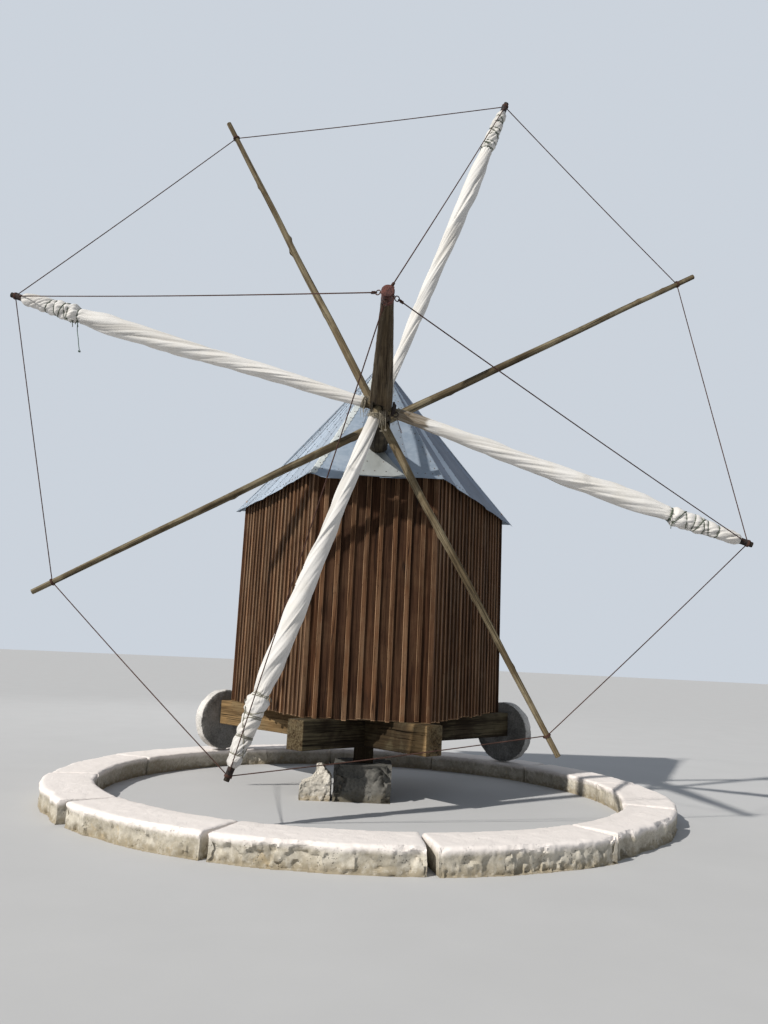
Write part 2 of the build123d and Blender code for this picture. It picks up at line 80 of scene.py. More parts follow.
NECK_Y, TAIL_Y, BEARING_LENGTH = -0.110, 1.440, 0.160
POLES = {"sail_pole_upright": "ac", "sail_pole_level": "bd", "bare_pole_steep": "eg", "bare_pole_flat": "fh"}
POLE_PLACES = dict(zip(POLES, (0.260, 0.100, -0.180, -0.330)))
ARM_ANGLES = dict(zip("abcdefgh", (18.9, 285.0, 198.3, 108.5, 331.6, 60.6, 151.0, 239.9)))
ARM_LENGTHS = dict(zip("abcdefgh", (3.480, 3.700, 3.540, 3.604, 3.670, 3.666, 3.510, 3.623)))
SAIL_ARMS = "abcd"
POLE_ROOT_R, POLE_TIP_R, POLE_CORE = 0.042, 0.025, 0.150
SAIL_START, SAIL_END_GAP, SAIL_R = 0.165, 0.118, 0.095
TIE_PLACES = {"a": 0.83, "b": 0.81, "c": 0.79, "d": 0.78}
ROLL_TO_TIE = [(0.0, 0.5), (0.15, 0.62), (0.43, 0.74), (0.74, 0.9), (0.9, 1.0), (1.0, 0.68)]
ROLL_BEYOND_TIE = [(0.0, 0.66), (0.09, 0.92), (0.3, 0.84), (0.55, 0.76), (0.85, 0.60), (1.0, 0.48)]
ROPE_R = 0.005
STAY_FROM_TIP = 0.045

UP = Vector((0, 0, 1))
RIGHT = Vector((1, 0, 0))
SIDES = ("front", "right", "rear", "left")

# Hand tools


def pick(piece):
    """Makes one piece the only selected one and the active one."""
    bpy.ops.object.select_all(action="DESELECT")
    piece.select_set(True)
    bpy.context.view_layer.objects.active = piece
    return piece


@contextmanager
def edit(piece, kind="FACE"):
    """Edit mode on one piece, with nothing selected at first."""
    pick(piece)
    bpy.ops.object.mode_set(mode="EDIT")
    bpy.ops.mesh.select_mode(type=kind)
    bpy.ops.mesh.select_all(action="DESELECT")
    yield
    bpy.ops.object.mode_set(mode="OBJECT")


def mark(kind, test):
    """Selects the open mesh's faces or edges that pass a test."""
    data = bpy.context.edit_object.data
    mesh = bmesh.from_edit_mesh(data)
    for part in getattr(mesh, kind):
        part.select_set(bool(test(part)))
    bmesh.update_edit_mesh(data)


def mark_faces(test):
    """Selects the faces whose middle and normal pass a test."""
    mark("faces", lambda face: test(face.calc_center_median(), face.normal))


def mark_ends():
    mark_faces(lambda middle, normal: abs(normal.z) > 0.9)


def mark_edges(test):
    """Selects the edges whose middle and direction pass a test."""

    def passes(edge):
        near, far = (corner.co for corner in edge.verts)
        return test((near + far) / 2, (far - near).normalized())

    mark("edges", passes)


def bore(wall, inner_r):
    """Opens the ends of the rod in edit mode and joins the holes, whose edges lie within a radius."""
    mark_ends()
    bpy.ops.mesh.inset(thickness=wall)
    bpy.ops.mesh.delete(type="FACE")
    bpy.ops.mesh.select_mode(type="EDGE")
    mark_edges(lambda middle, direction: hypot(middle.x, middle.y) < inner_r)
    bpy.ops.mesh.bridge_edge_loops()


def divide_along(piece, axis, cuts, again=0):
    """Cuts a piece into equal lengths along one axis (0, 1 or 2), and each length again."""
    with edit(piece, "EDGE"):
        for number in (cuts, again):
            if number:
                mark_edges(lambda middle, direction: abs(direction[axis]) > 0.99)
                bpy.ops.mesh.subdivide(number_cuts=number)


def work(piece, kind, **settings):
    """Adds a modifier and applies it."""
    pick(piece)
    modifier = piece.modifiers.new(kind.lower(), kind)
    for name, value in settings.items():
        setattr(modifier, name, value)
    bpy.ops.object.modifier_apply(modifier=modifier.name)
    return piece


def break_edges(piece, width, segments=1, angle=40, **settings):
    return work(piece, "BEVEL", width=width, segments=segments, limit_method="ANGLE",
                angle_limit=radians(angle), **settings)


def start(name, add, **settings):
    """Adds a primitive, names it and puts its place into its mesh."""
    add(**settings)
    piece = bpy.context.object
    piece.name = name
    bpy.ops.object.transform_apply(location=True, rotation=True, scale=True)
    return piece


def block(name, size, middle=(0, 0, 0)):
    return start(name, bpy.ops.mesh.primitive_cube_add, size=1, scale=size, location=middle)


def rod(name, sides, length, radius=1.0):
    """A cylinder that stands on the origin along Z."""
    return start(name, bpy.ops.mesh.primitive_cylinder_add, vertices=sides, radius=radius, depth=length,
                 location=(0, 0, length / 2))


def ball(name, segments, rings, radius):
    return start(name, bpy.ops.mesh.primitive_uv_sphere_add, segments=segments, ring_count=rings,
                 radius=radius)


def hoop(name, radius, thick_r, steps, sides, **where):
    return start(name, bpy.ops.mesh.primitive_torus_add, major_radius=radius, minor_radius=thick_r,
                 major_segments=steps, minor_segments=sides, **where)


def flat_sheet(name, columns, rows):
    """A sheet from -1 to 1 in X and Y."""
    return start(name, bpy.ops.mesh.primitive_grid_add, x_subdivisions=columns, y_subdivisions=rows, size=2)


def carve(piece, move):
    """Moves each point of a piece by hand."""
    for point in piece.data.vertices:
        point.co = move(point.co.copy())
    piece.data.update()
    return piece


def place(piece, matrix):
    piece.data.transform(matrix)
    piece.data.update()
    return piece


def moved(x, y, z):
    return Matrix.Translation((x, y, z))


def turned(angle, axis):
    return Matrix.Rotation(radians(angle), 4, axis)


def put_in_scene(name, data):
    made = bpy.data.objects.new(name, data)
    bpy.context.scene.collection.objects.link(made)
    return made


def another(piece, name):
    """A copy with its own mesh."""
    return put_in_scene(name, piece.data.copy())


def scrap(piece):
    bpy.data.objects.remove(piece)


def put_together(name, parts):
    """Joins parts into one piece."""
    bpy.ops.object.select_all(action="DESELECT")
    for part in parts:
        part.select_set(True)
    bpy.context.view_layer.objects.active = parts[0]
    if len(parts) > 1:
        bpy.ops.object.join()
    parts[0].name = name
    return parts[0]


def outwards(piece):
    """Turns every face outwards."""
    with edit(piece):
        bpy.ops.mesh.select_all(action="SELECT")
        bpy.ops.mesh.normals_make_consistent(inside=False)
    return piece


def smooth(piece, angle):
    pick(piece)
    bpy.ops.object.shade_smooth_by_angle(angle=radians(angle))
    return piece


def cut(piece, cutter):
    """Takes one shape away from a piece."""
    work(piece, "BOOLEAN", object=cutter, operation="DIFFERENCE", solver="EXACT")
    scrap(cutter)
    return piece


def axes(x_axis, y_axis, z_axis, origin=(0, 0, 0)):
    """Matrix that takes a piece from its own axes to its place."""
    matrix = Matrix((x_axis, y_axis, z_axis)).transposed().to_4x4()
    matrix.translation = Vector(origin)
    return matrix


def towards(near, far):
    """Matrix that lays a piece's Z along a line."""
    matrix = (far - near).to_track_quat("Z", "X").to_matrix().to_4x4()
    matrix.translation = near
    return matrix


def spoke(angle, radius=1.0, height=0.0):
    """Point at an angle and a radius round Z."""
    return Vector((cos(angle) * radius, sin(angle) * radius, height))


def grow(piece, name, values):
    """Stores a value at each point of a piece: one for all, a list, or a function of the point's place."""
    points = piece.data.vertices
    if callable(values):
        values = [values(point.co) for point in points]
    elif not isinstance(values, list):
        values = [values] * len(points)
    kind, field = ("FLOAT_VECTOR", "vector") if name in ("grain", "sheet") else ("FLOAT", "value")
    if field == "vector":
        values = [number for value in values for number in value]
    stored = piece.data.attributes.get(name) or piece.data.attributes.new(name, kind, "POINT")
    stored.data.foreach_set(field, values)


def add_grain(piece, tone=0.5, shift=(0, 0, 0)):
    """Stores each point's place in its timber, whose fibres run along the piece's Z, and its tone."""
    grow(piece, "grain", lambda co: co + Vector(shift))
    grow(piece, "tone", tone)
    return piece


def dress(piece, body, slot, *materials, stands_for=()):
    """Gives a finished piece its materials, its body and the nodes that it stands for."""
    slots = piece.data.materials
    for number, material in enumerate(materials):
        if number < len(slots):
            slots[number] = material
        else:
            slots.append(material)
    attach(piece, body)
    if stands_for:
        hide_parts(*stands_for)
    return piece


def finish(name, parts, angle, body, slot, *materials, stands_for=()):
    """Joins parts into a piece, smooths it and dresses it."""
    piece = smooth(put_together(name, parts), angle)
    return dress(piece, body, slot, *materials, stands_for=stands_for)


def seeded(point, seed):
    return point + Vector((seed * 7.3, seed * 3.1, seed * 5.7))


def wander(point, scale, seed=0.0):
    """Smooth noise from -1 to 1."""
    return noise.noise(seeded(Vector(point) * scale, seed))


def rough(point, scale, seed=0.0):
    """Fractal noise, about -1 to 1."""
    return noise.fractal(seeded(Vector(point) * scale, seed), 0.8, 2.1, 4)


def chip(point, size, seed=0.0):
    """Depth of flat broken facets, about 0 to 1."""
    spot = seeded(Vector(point) / size, seed)
    middle = noise.voronoi(spot)[1][0]
    tilt = noise.cell_vector(middle * 3.7) - Vector((0.5, 0.5, 0.5))
    return min(1.0, max(0.0, 0.45 + (spot - middle).dot(tilt) * 1.3 + tilt.x * 0.7))


def ease(value, low, high):
    share = min(1.0, max(0.0, (value - low) / (high - low)))
    return share * share * (3 - 2 * share)


def between(pairs, share):
    """Reads a value from a list of pairs, smoothly."""
    if share <= pairs[0][0]:
        return pairs[0][1]
    for (left, low), (right, high) in zip(pairs, pairs[1:]):
        if share <= right:
            step = (share - left) / (right - left)
            return low + (high - low) * (step * step * (3 - 2 * step) * 0.6 + step * 0.4)
    return pairs[-1][1]


def follow(points):
    """Gives a path's length and a function that finds the place and axes at a distance along it."""
    reached = [0.0]
    for near, far in zip(points, points[1:]):
        reached.append(reached[-1] + (far - near).length)
    runs = [(far - near).normalized() for near, far in zip(points, points[1:])]
    headings = [runs[0]] + [(a + b).normalized() for a, b in zip(runs, runs[1:])] + [runs[-1]]
    sides = [headings[0].orthogonal().normalized()]
    for near, far in zip(headings, headings[1:]):
        sides.append(near.rotation_difference(far) @ sides[-1])

    def at(distance):
        number = min(max(bisect(reached, distance) - 1, 0), len(points) - 2)
        share = (distance - reached[number]) / (reached[number + 1] - reached[number])
        heading = headings[number].lerp(headings[number + 1], share).normalized()
        side = sides[number].lerp(sides[number + 1], share)
        side = (side - heading * side.dot(heading)).normalized()
        return points[number].lerp(points[number + 1], share), side, heading.cross(side)

    return reached[-1], at


def laid_rope(name, points, radius, sides=9, pitch=None):
    """A rope of three strands along a path."""
    length, at = follow(points)
    pitch = pitch or radius * 7
    pieces = max(4, ceil(length / (pitch / 6)))
    first = ceil(sqrt(pieces))
    rope = rod(name, sides, length)
    divide_along(rope, 2, first - 1, ceil(pieces / first) - 1)

    def lie(co):
        spot, side, over = at(co.z)
        angle = atan2(co.y, co.x)
        strand = radius * (0.82 + 0.18 * abs(cos(1.5 * (angle - tau * co.z / pitch))))
        return spot + (side * cos(angle) + over * sin(angle)) * strand

    return carve(rope, lie)


def soften(points):
    """Rounds a short given path through its points."""
    steps = 8
    padded = [points[0] * 2 - points[1]] + points + [points[-1] * 2 - points[-2]]
    line = []
    for a, b, c, d in zip(padded, padded[1:], padded[2:], padded[3:]):
        for step in range(steps):
            t = step / steps
            bend = (2 * a - 5 * b + 4 * c - d) * t * t + (3 * b - a - 3 * c + d) * t**3
            line.append(0.5 * (2 * b + (c - a) * t + bend))
    return line + [points[-1]]


def knot(spot, out, size, radius=0.0036):
    """A small closed knot that lies on a surface."""
    side = out.orthogonal().normalized()
    over = out.cross(side)
    line = []
    for step in range(61):
        t = tau * step / 60
        flat = side * (sin(t) + 2 * sin(2 * t)) + over * (cos(t) - 2 * cos(2 * t))
        line.append(spot + flat * (size / 2.4) - out * sin(3 * t) * size * 0.5)
    return laid_rope("knot", line, radius, 7)


# Places


def house_plan(inset, front=None, rear=None):
    """Corners of the plan moved inwards: front left, front right, rear right, rear left."""
    front = inset if front is None else front
    rear = inset if rear is None else rear
    slant = (REAR_WIDTH - FRONT_WIDTH) / 2 / (REAR_Y - FRONT_Y)
    shift = inset * sqrt(1 + slant**2)
    near, far = FRONT_Y + front, REAR_Y - rear
    near_half, far_half = (FRONT_WIDTH / 2 + slant * (y - FRONT_Y) - shift for y in (near, far))
    return [(-near_half, near), (near_half, near), (far_half, far), (-far_half, far)]


EAVES = [Vector((*corner, EAVE_Z)) for corner in house_plan(-EAVE_SIDE, -EAVE_FRONT, -EAVE_FRONT)]


def roof_frame(side):
    """Matrix of one roof side: X along its eave, Y up its slope, Z outwards, origin at the apex."""
    left, right = EAVES[side], EAVES[(side + 1) % 4]
    along = (right - left).normalized()
    out = along.cross(APEX - left).normalized()
    return axes(along, out.cross(along), out, APEX)


def direction_of(matrix, axis):
    return matrix.to_3x3().col[axis]


def under_roof(x, y):
    """Height of the roof's underside over a point of the plan."""
    heights = []
    for side in range(4):
        out = direction_of(roof_frame(side), 2)
        heights.append(APEX.z - ((x - APEX.x) * out.x + (y - APEX.y) * out.y) / out.z)
    return min(heights) - ROOF_DROP


def wall_frame(side):
    """Matrix of a wall (X along it, Y inwards, Z up, from its left lower corner outside) and its length."""
    plan = house_plan(0)
    left, right = Vector((*plan[side], 0)), Vector((*plan[(side + 1) % 4], 0))
    along = (right - left).normalized()
    return axes(along, UP.cross(along), UP, left + UP * BEAM_TOP), (right - left).length


def corner_heading(turn):
    """Direction from the pivot to the left (-1) or right (1) rear corner."""
    return Vector((turn * sin(DIAGONAL), cos(DIAGONAL), 0))


def arm_frame(arm):
    """Matrix of one arm: X along the mast, Z from the mast's axis to the arm's tip."""
    pole = next(name for name, pair in POLES.items() if arm in pair)
    angle = radians(ARM_ANGLES[arm])
    heading = RIGHT * sin(angle) + MAST_UP * cos(angle)
    return axes(FORWARD, heading.cross(FORWARD), heading, HUB + FORWARD * POLE_PLACES[pole])


MAST_FRAME = axes(MAST_UP, RIGHT, FORWARD, HUB)


def out_of(matrix, angle):
    """Direction out of an arm at an angle round it."""
    return matrix.to_3x3() @ spoke(angle)


def pole_radius(arm, reach):
    share = max(0.0, (reach - POLE_CORE) / (ARM_LENGTHS[arm] - POLE_CORE))
    return POLE_ROOT_R + (POLE_TIP_R - POLE_ROOT_R) * share


def rope_reach(arm):
    return ARM_LENGTHS[arm] - (0.040 if arm in SAIL_ARMS else 0.200)


def rope_point(arm):
    return arm_frame(arm) @ Vector((0, 0, rope_reach(arm)))


def cloth_end(arm):
    return ARM_LENGTHS[arm] - SAIL_END_GAP


def tie_reach(arm):
    return ARM_LENGTHS[arm] * TIE_PLACES[arm]


# Finishes


def fill(tree, socket, value):
    """Sets an input, or links it where the value is another node's output."""
    if isinstance(value, bpy.types.NodeSocket):
        tree.links.new(value, socket)
    else:
        socket.default_value = value


def lay(tree, kind, settings=None, **inputs):
    """Adds a shader node. An input is a plain value or another node's output; in0 is the first one."""
    made = tree.nodes.new("ShaderNode" + kind)
    for name, value in (settings or {}).items():
        setattr(made, name, value)
    for name, value in inputs.items():
        numbered = name.startswith("in") and name[2:].isdigit()
        fill(tree, made.inputs[int(name[2:]) if numbered else name.replace("_", " ")], value)
    return made


def stretched(tree, where, stretch):
    return lay(tree, "Mapping", Vector=where, Scale=stretch).outputs[0]


def speckle(tree, where, scale, detail=4.0, roughness=0.55, stretch=None):
    """Noise over a surface, stretched along its axes if asked."""
    if stretch:
        where = stretched(tree, where, stretch)
    return lay(tree, "TexNoise", Vector=where, Scale=scale, Detail=detail, Roughness=roughness).outputs[0]


def span(tree, value, low, high, to_low=0.0, to_high=1.0):
    """Spreads a value softly over a range."""
    return lay(tree, "MapRange", {"interpolation_type": "SMOOTHSTEP"}, Value=value, From_Min=low,
               From_Max=high, To_Min=to_low, To_Max=to_high).outputs[0]


def sums(tree, operation, first, second=0.0):
    return lay(tree, "Math", {"operation": operation}, in0=first, in1=second).outputs[0]


def times(tree, first, second):
    return sums(tree, "MULTIPLY", first, second)


def plus(tree, first, second):
    return sums(tree, "ADD", first, second)


def minus(tree, first, second):
    return sums(tree, "SUBTRACT", first, second)


def tint(tree, share, first, second):
    """Mixes two colours, each a colour or an output."""
    first, second = (c if isinstance(c, bpy.types.NodeSocket) else (*c, 1.0) for c in (first, second))
    return lay(tree, "Mix", {"data_type": "RGBA"}, in0=share, in6=first, in7=second).outputs[2]


def coat(tree, colour, mask, strength, paint):
    """Lays a second colour over the first where a mask is."""
    return tint(tree, times(tree, mask, strength), colour, paint)


def shade(colour, strength):
    return [c * strength for c in colour]


def toned(tree, colour, low, high):
    """Makes a colour darker or lighter by the piece's tone."""
    value = span(tree, attribute(tree, "tone", "Fac"), 0.0, 1.0, low, high)
    return lay(tree, "HueSaturation", Color=colour, Value=value).outputs[0]


def group(name, takes, gives):
    """A shader node group with named inputs and outputs."""
    tree = bpy.data.node_groups.new(name, "ShaderNodeTree")
    for label, kind in takes.items():
        tree.interface.new_socket(label, in_out="INPUT", socket_type="NodeSocket" + kind)
    for label in gives:
        tree.interface.new_socket(label, in_out="OUTPUT", socket_type="NodeSocketFloat")
    return tree, tree.nodes.new("NodeGroupInput").outputs, tree.nodes.new("NodeGroupOutput").inputs


def give(tree, outputs, **values):
    for name, value in values.items():
        tree.links.new(value, outputs[name])
    return tree


def use(tree, kind, **inputs):
    """Places a node group in a material with its own values."""
    return lay(tree, "Group", {"node_tree": kind}, **inputs).outputs


def scaled_place(tree, takes):
    grown = lay(tree, "VectorMath", {"operation": "MULTIPLY"}, in0=takes["Place"], in1=takes["Coarse"])
    return grown.outputs[0]


def timber_group():
    """Fibres, drying splits and knots in timber whose fibres run along Z."""
    tree, takes, gives = group("timber", {"Place": "Vector", "Coarse": "Float"},
                               ("Fibre", "Split", "Knot", "Relief"))
    where = scaled_place(tree, takes)
    fine = speckle(tree, where, 1.0, 6.0, 0.65, (70, 70, 2.2))
    band = speckle(tree, where, 1.0, 3.0, 0.5, (14, 14, 0.5))
    fibre = plus(tree, times(tree, fine, 0.6), times(tree, band, 0.4))
    line = sums(tree, "ABSOLUTE", minus(tree, speckle(tree, where, 1.0, 2.0, 0.5, (17, 17, 0.5)), 0.5))
    patch = span(tree, speckle(tree, where, 1.0, 2.0, 0.5, (4, 4, 1.1)), 0.5, 0.6)
    split = times(tree, span(tree, line, 0.0, 0.022, 1.0, 0.0), patch)
    cells = lay(tree, "TexVoronoi", Vector=stretched(tree, where, (9, 9, 2.6)))
    knots = span(tree, cells.outputs["Distance"], 0.06, 0.2, 1.0, 0.0)
    relief = minus(tree, fibre, times(tree, split, 1.4))
    relief = plus(tree, relief, times(tree, knots, 0.35))
    return give(tree, gives, Fibre=span(tree, fibre, 0.36, 0.64), Split=split, Knot=knots, Relief=relief)


def stone_group():
    """Tone, pits, patches of lichen and relief of rough stone."""
    tree, takes, gives = group("stone", {"Place": "Vector", "Coarse": "Float"},
                               ("Tone", "Pit", "Patch", "Relief"))
    where = scaled_place(tree, takes)
    broad = speckle(tree, where, 2.3, 5.0, 0.6)
    fine = speckle(tree, where, 38.0, 6.0, 0.7)
    cells = lay(tree, "TexVoronoi", Vector=where, Scale=55.0).outputs["Distance"]
    pitted = span(tree, speckle(tree, where, 9.0), 0.5, 0.62)
    pit = times(tree, span(tree, cells, 0.12, 0.3, 1.0, 0.0), pitted)
    patch = span(tree, speckle(tree, where, 5.5, 6.0, 0.7), 0.6, 0.68)
    relief = minus(tree, plus(tree, times(tree, fine, 0.6), broad), pit)
    tone = plus(tree, times(tree, broad, 0.6), times(tree, fine, 0.4))
    return give(tree, gives, Tone=span(tree, tone, 0.36, 0.64), Pit=pit, Patch=patch, Relief=relief)


def blotch_group():
    """Broad stains and fine dust, each from 0 to 1."""
    tree, takes, gives = group("blotch", {"Place": "Vector", "Size": "Float"}, ("Stain", "Dust"))
    where, size = takes["Place"], takes["Size"]
    broad = lay(tree, "TexNoise", Vector=where, Scale=size, Detail=5.0, Roughness=0.62,
                Distortion=0.4).outputs[0]
    fine = speckle(tree, where, times(tree, size, 7.0), 5.0, 0.7)
    return give(tree, gives, Stain=span(tree, broad, 0.42, 0.62), Dust=span(tree, fine, 0.45, 0.65))


TIMBER, STONE, BLOTCH = timber_group(), stone_group(), blotch_group()
# How little the dry surfaces shine
DULL = 0.2


def material(name):
    """An empty material and its nodes."""
    made = bpy.data.materials.new(name)
    made.use_nodes = True
    return made, made.node_tree


def settle(tree, **inputs):
    """Fills the inputs of a material's shader."""
    shader = tree.nodes["Principled BSDF"]
    for name, value in inputs.items():
        fill(tree, shader.inputs[name.replace("_", " ")], value)


def bump(tree, height, depth, strength):
    return lay(tree, "Bump", Height=height, Distance=depth, Strength=strength).outputs[0]


def attribute(tree, name, output):
    return lay(tree, "Attribute", {"attribute_name": name}).outputs[output]


def place_of(tree):
    return lay(tree, "TexCoord").outputs["Object"]


def timber(name, dark, light, grey, silver, coarse=1.0, depth=0.0025, tones=0.35):
    """Weathered timber: dark and light fibres, a grey bloom, splits and knots."""
    made, tree = material(name)
    wood = use(tree, TIMBER, Place=attribute(tree, "grain", "Vector"), Coarse=coarse)
    wear = use(tree, BLOTCH, Place=place_of(tree), Size=2.4)
    colour = toned(tree, tint(tree, wood["Fibre"], dark, light), 1.0 - tones, 1.0 + tones)
    colour = coat(tree, colour, times(tree, wear["Stain"], silver), wood["Fibre"], grey)
    colour = coat(tree, colour, wood["Knot"], 0.7, shade(dark, 0.45))
    colour = coat(tree, colour, wood["Split"], 0.9, shade(dark, 0.18))
    settle(tree, Base_Color=colour, Roughness=span(tree, wood["Fibre"], 0.0, 1.0, 0.95, 0.7),
           Specular_IOR_Level=DULL, Normal=bump(tree, wood["Relief"], depth, 0.8))
    return made


def lit_top_and_worn_track(tree, colour, where, height, tone):
    """Lightens the ring's top and upper edge as painted light, and greys it where the wheels roll."""
    flat = stretched(tree, where, (1, 1, 0))
    reach = lay(tree, "VectorMath", {"operation": "LENGTH"}, in0=flat).outputs["Value"]
    level = plus(tree, height, times(tree, tone, 0.012))
    # Painted light: the top and upper edge are made lighter than the faces
    white = span(tree, level, RING_TOP - 0.070, RING_TOP - 0.015, 0.0, 0.90)
    colour = tint(tree, white, colour, (0.90, 0.845, 0.815))
    off = sums(tree, "ABSOLUTE", minus(tree, reach, TRACK_R))
    worn = times(tree, span(tree, off, 0.05, 0.09, 1.0, 0.0), span(tree, height, 0.13, 0.18))
    return coat(tree, colour, worn, 0.22, (0.70, 0.66, 0.63))


def stone(name, dark, light, lichen, patch, depth, coarse=1.0, dirt=None, track=False):
    """Rough stone with pits, lichen and, near the ground, dirt."""
    made, tree = material(name)
    where = place_of(tree)
    rock = use(tree, STONE, Place=where, Coarse=coarse)
    wear = use(tree, BLOTCH, Place=where, Size=3.0)
    colour = tint(tree, rock["Tone"], dark, light)
    colour = coat(tree, colour, rock["Patch"], patch, lichen)
    colour = coat(tree, colour, rock["Pit"], 0.75, shade(dark, 0.35))
    height = lay(tree, "SeparateXYZ", Vector=where).outputs[2]
    if dirt:
        edge = plus(tree, height, times(tree, wear["Dust"], 0.06))
        colour = coat(tree, colour, span(tree, edge, dirt[0], dirt[1], 1.0, 0.0), 0.8, dirt[2])
    if track:
        colour = lit_top_and_worn_track(tree, colour, where, height, rock["Tone"])
    settle(tree, Base_Color=colour, Roughness=span(tree, rock["Tone"], 0.0, 1.0, 0.95, 0.8),
           Specular_IOR_Level=DULL, Normal=bump(tree, rock["Relief"], depth, 0.8))
    return made


def iron(name, dark, rust):
    """Old iron under uneven rust."""
    made, tree = material(name)
    wear = use(tree, BLOTCH, Place=place_of(tree), Size=16.0)
    colour = coat(tree, tint(tree, wear["Stain"], dark, rust), wear["Dust"], 0.5, shade(rust, 1.5))
    settle(tree, Base_Color=colour, Roughness=span(tree, wear["Stain"], 0.0, 1.0, 0.55, 0.9),
           Metallic=span(tree, wear["Stain"], 0.0, 1.0, 0.6, 0.05),
           Normal=bump(tree, wear["Dust"], 0.0012, 0.7))
    return made


def sheet_metal(name, dark, light):
    """Galvanised sheet: crystal flakes, white bloom and dirt that runs down."""
    made, tree = material(name)
    where = attribute(tree, "sheet", "Vector")
    flakes = lay(tree, "TexVoronoi", Vector=where, Scale=26.0).outputs["Color"]
    flake = lay(tree, "SeparateXYZ", Vector=flakes).outputs[0]
    stain = use(tree, BLOTCH, Place=where, Size=3.5)["Stain"]
    streak = speckle(tree, where, 1.0, 5.0, 0.6, (26, 1.6, 1))
    colour = coat(tree, tint(tree, flake, dark, light), stain, 0.16, (0.34, 0.37, 0.41))
    colour = tint(tree, span(tree, streak, 0.56, 0.80, 0.0, 0.35), colour, (0.20, 0.22, 0.24))
    rough_share = plus(tree, times(tree, stain, 0.12), times(tree, flake, 0.06))
    height = plus(tree, stain, times(tree, flake, 0.1))
    settle(tree, Base_Color=toned(tree, colour, 0.50, 1.45), Roughness=plus(tree, rough_share, 0.48),
           Metallic=span(tree, stain, 0.0, 1.0, 0.38, 0.28), Specular_IOR_Level=DULL,
           Normal=bump(tree, height, 0.0005, 0.3))
    return made


def canvas(name):
    """Sailcloth: plain weave, painted shade in the folds' valleys, and yellowed patches."""
    made, tree = material(name)
    cloth = lay(tree, "UVMap", {"uv_map": "cloth"}).outputs[0]
    warp, weft = (lay(tree, "TexWave", {"bands_direction": way}, Vector=cloth, Scale=190.0, Distortion=0.6)
                  for way in "XY")
    weave = plus(tree, warp.outputs[1], weft.outputs[1])
    stain = use(tree, BLOTCH, Place=place_of(tree), Size=4.5)["Stain"]
    fold, soil = (attribute(tree, name, "Fac") for name in ("fold", "soil"))
    streak = speckle(tree, cloth, 1.0, 5.0, 0.65, (30, 3.0, 1))
    colour = tint(tree, times(tree, stain, 0.4), (0.735, 0.725, 0.705), (0.66, 0.635, 0.585))
    colour = tint(tree, span(tree, streak, 0.55, 0.80, 0.0, 0.22), colour, (0.57, 0.555, 0.51))
    # Darker where the cloth lies deep in a fold and inside the roll: painted shade
    colour = tint(tree, span(tree, fold, 0.45, 1.0, 0.0, 0.55), colour, (0.44, 0.42, 0.385))
    colour = coat(tree, colour, soil, span(tree, streak, 0.36, 0.58, 0.80, 1.0), (0.155, 0.120, 0.078))
    settle(tree, Base_Color=colour, Roughness=span(tree, stain, 0.0, 1.0, 0.88, 0.97), Sheen_Weight=0.15,
           Specular_IOR_Level=DULL, Normal=bump(tree, weave, 0.0004, 0.35))
    return made


def cordage(name, dark, light):
    """Fine rope fibres, with blotches of dirt."""
    made, tree = material(name)
    where = place_of(tree)
    fibre = speckle(tree, where, 320.0, 4.0, 0.7)
    wear = use(tree, BLOTCH, Place=where, Size=9.0)
    colour = tint(tree, span(tree, fibre, 0.35, 0.65), dark, light)
    colour = coat(tree, colour, wear["Stain"], 0.45, shade(dark, 0.6))
    settle(tree, Base_Color=colour, Roughness=span(tree, fibre, 0.3, 0.7, 0.95, 0.75),
           Specular_IOR_Level=DULL, Normal=bump(tree, fibre, 0.0006, 0.6))
    return made


# Boards and cover strips share one stain: the boards are darker, painted shade of the recesses between the
# strips, and the strips lighter, partly weathered grey and partly painted light
BOARDS = timber("stained boards", (0.0225, 0.0086, 0.0034), (0.081, 0.0332, 0.0132), (0.112, 0.064, 0.032),
                0.35, tones=0.4)
BATTENS = timber("stained cover strips", (0.034, 0.0148, 0.0064), (0.112, 0.054, 0.025),
                 (0.176, 0.118, 0.070), 0.5)
# Lighter bevelled edges on every board and strip: a painted highlight
BOARD_EDGES_PAINTED_HIGHLIGHT = timber("worn board edges", (0.17, 0.095, 0.050), (0.34, 0.21, 0.12), (0.34, 0.25, 0.17), 0.3,
                     depth=0.001)
RAW_BEAM = timber("raw beams", (0.050, 0.030, 0.013), (0.185, 0.120, 0.055), (0.130, 0.112, 0.066), 0.7,
                  coarse=0.8, depth=0.004, tones=0.85)
SAWN = timber("frame timber", (0.16, 0.105, 0.060), (0.34, 0.235, 0.140), (0.28, 0.23, 0.17), 0.4)
MAST_WOOD = timber("weathered mast", (0.028, 0.0190, 0.010), (0.094, 0.067, 0.037), (0.130, 0.106, 0.068),
                   0.6, coarse=0.9, depth=0.003, tones=0.65)
POLE_WOOD = timber("weathered poles", (0.036, 0.026, 0.014), (0.175, 0.134, 0.077), (0.280, 0.242, 0.160),
                   0.85, depth=0.003, tones=0.5)
# Near black: tar on the poles' tips, and painted shade inside the mast's mortises
TARRED_TIPS_AND_SHADED_MORTISES = timber("tarred tips", (0.012, 0.010, 0.008), (0.040, 0.030, 0.022), (0.060, 0.048, 0.038), 0.3)
RING_ROCK = stone("ring limestone", (0.36, 0.325, 0.255), (0.60, 0.565, 0.49), (0.50, 0.37, 0.19), 0.45,
                  0.009, dirt=(0.01, 0.11, (0.27, 0.225, 0.15)), track=True)
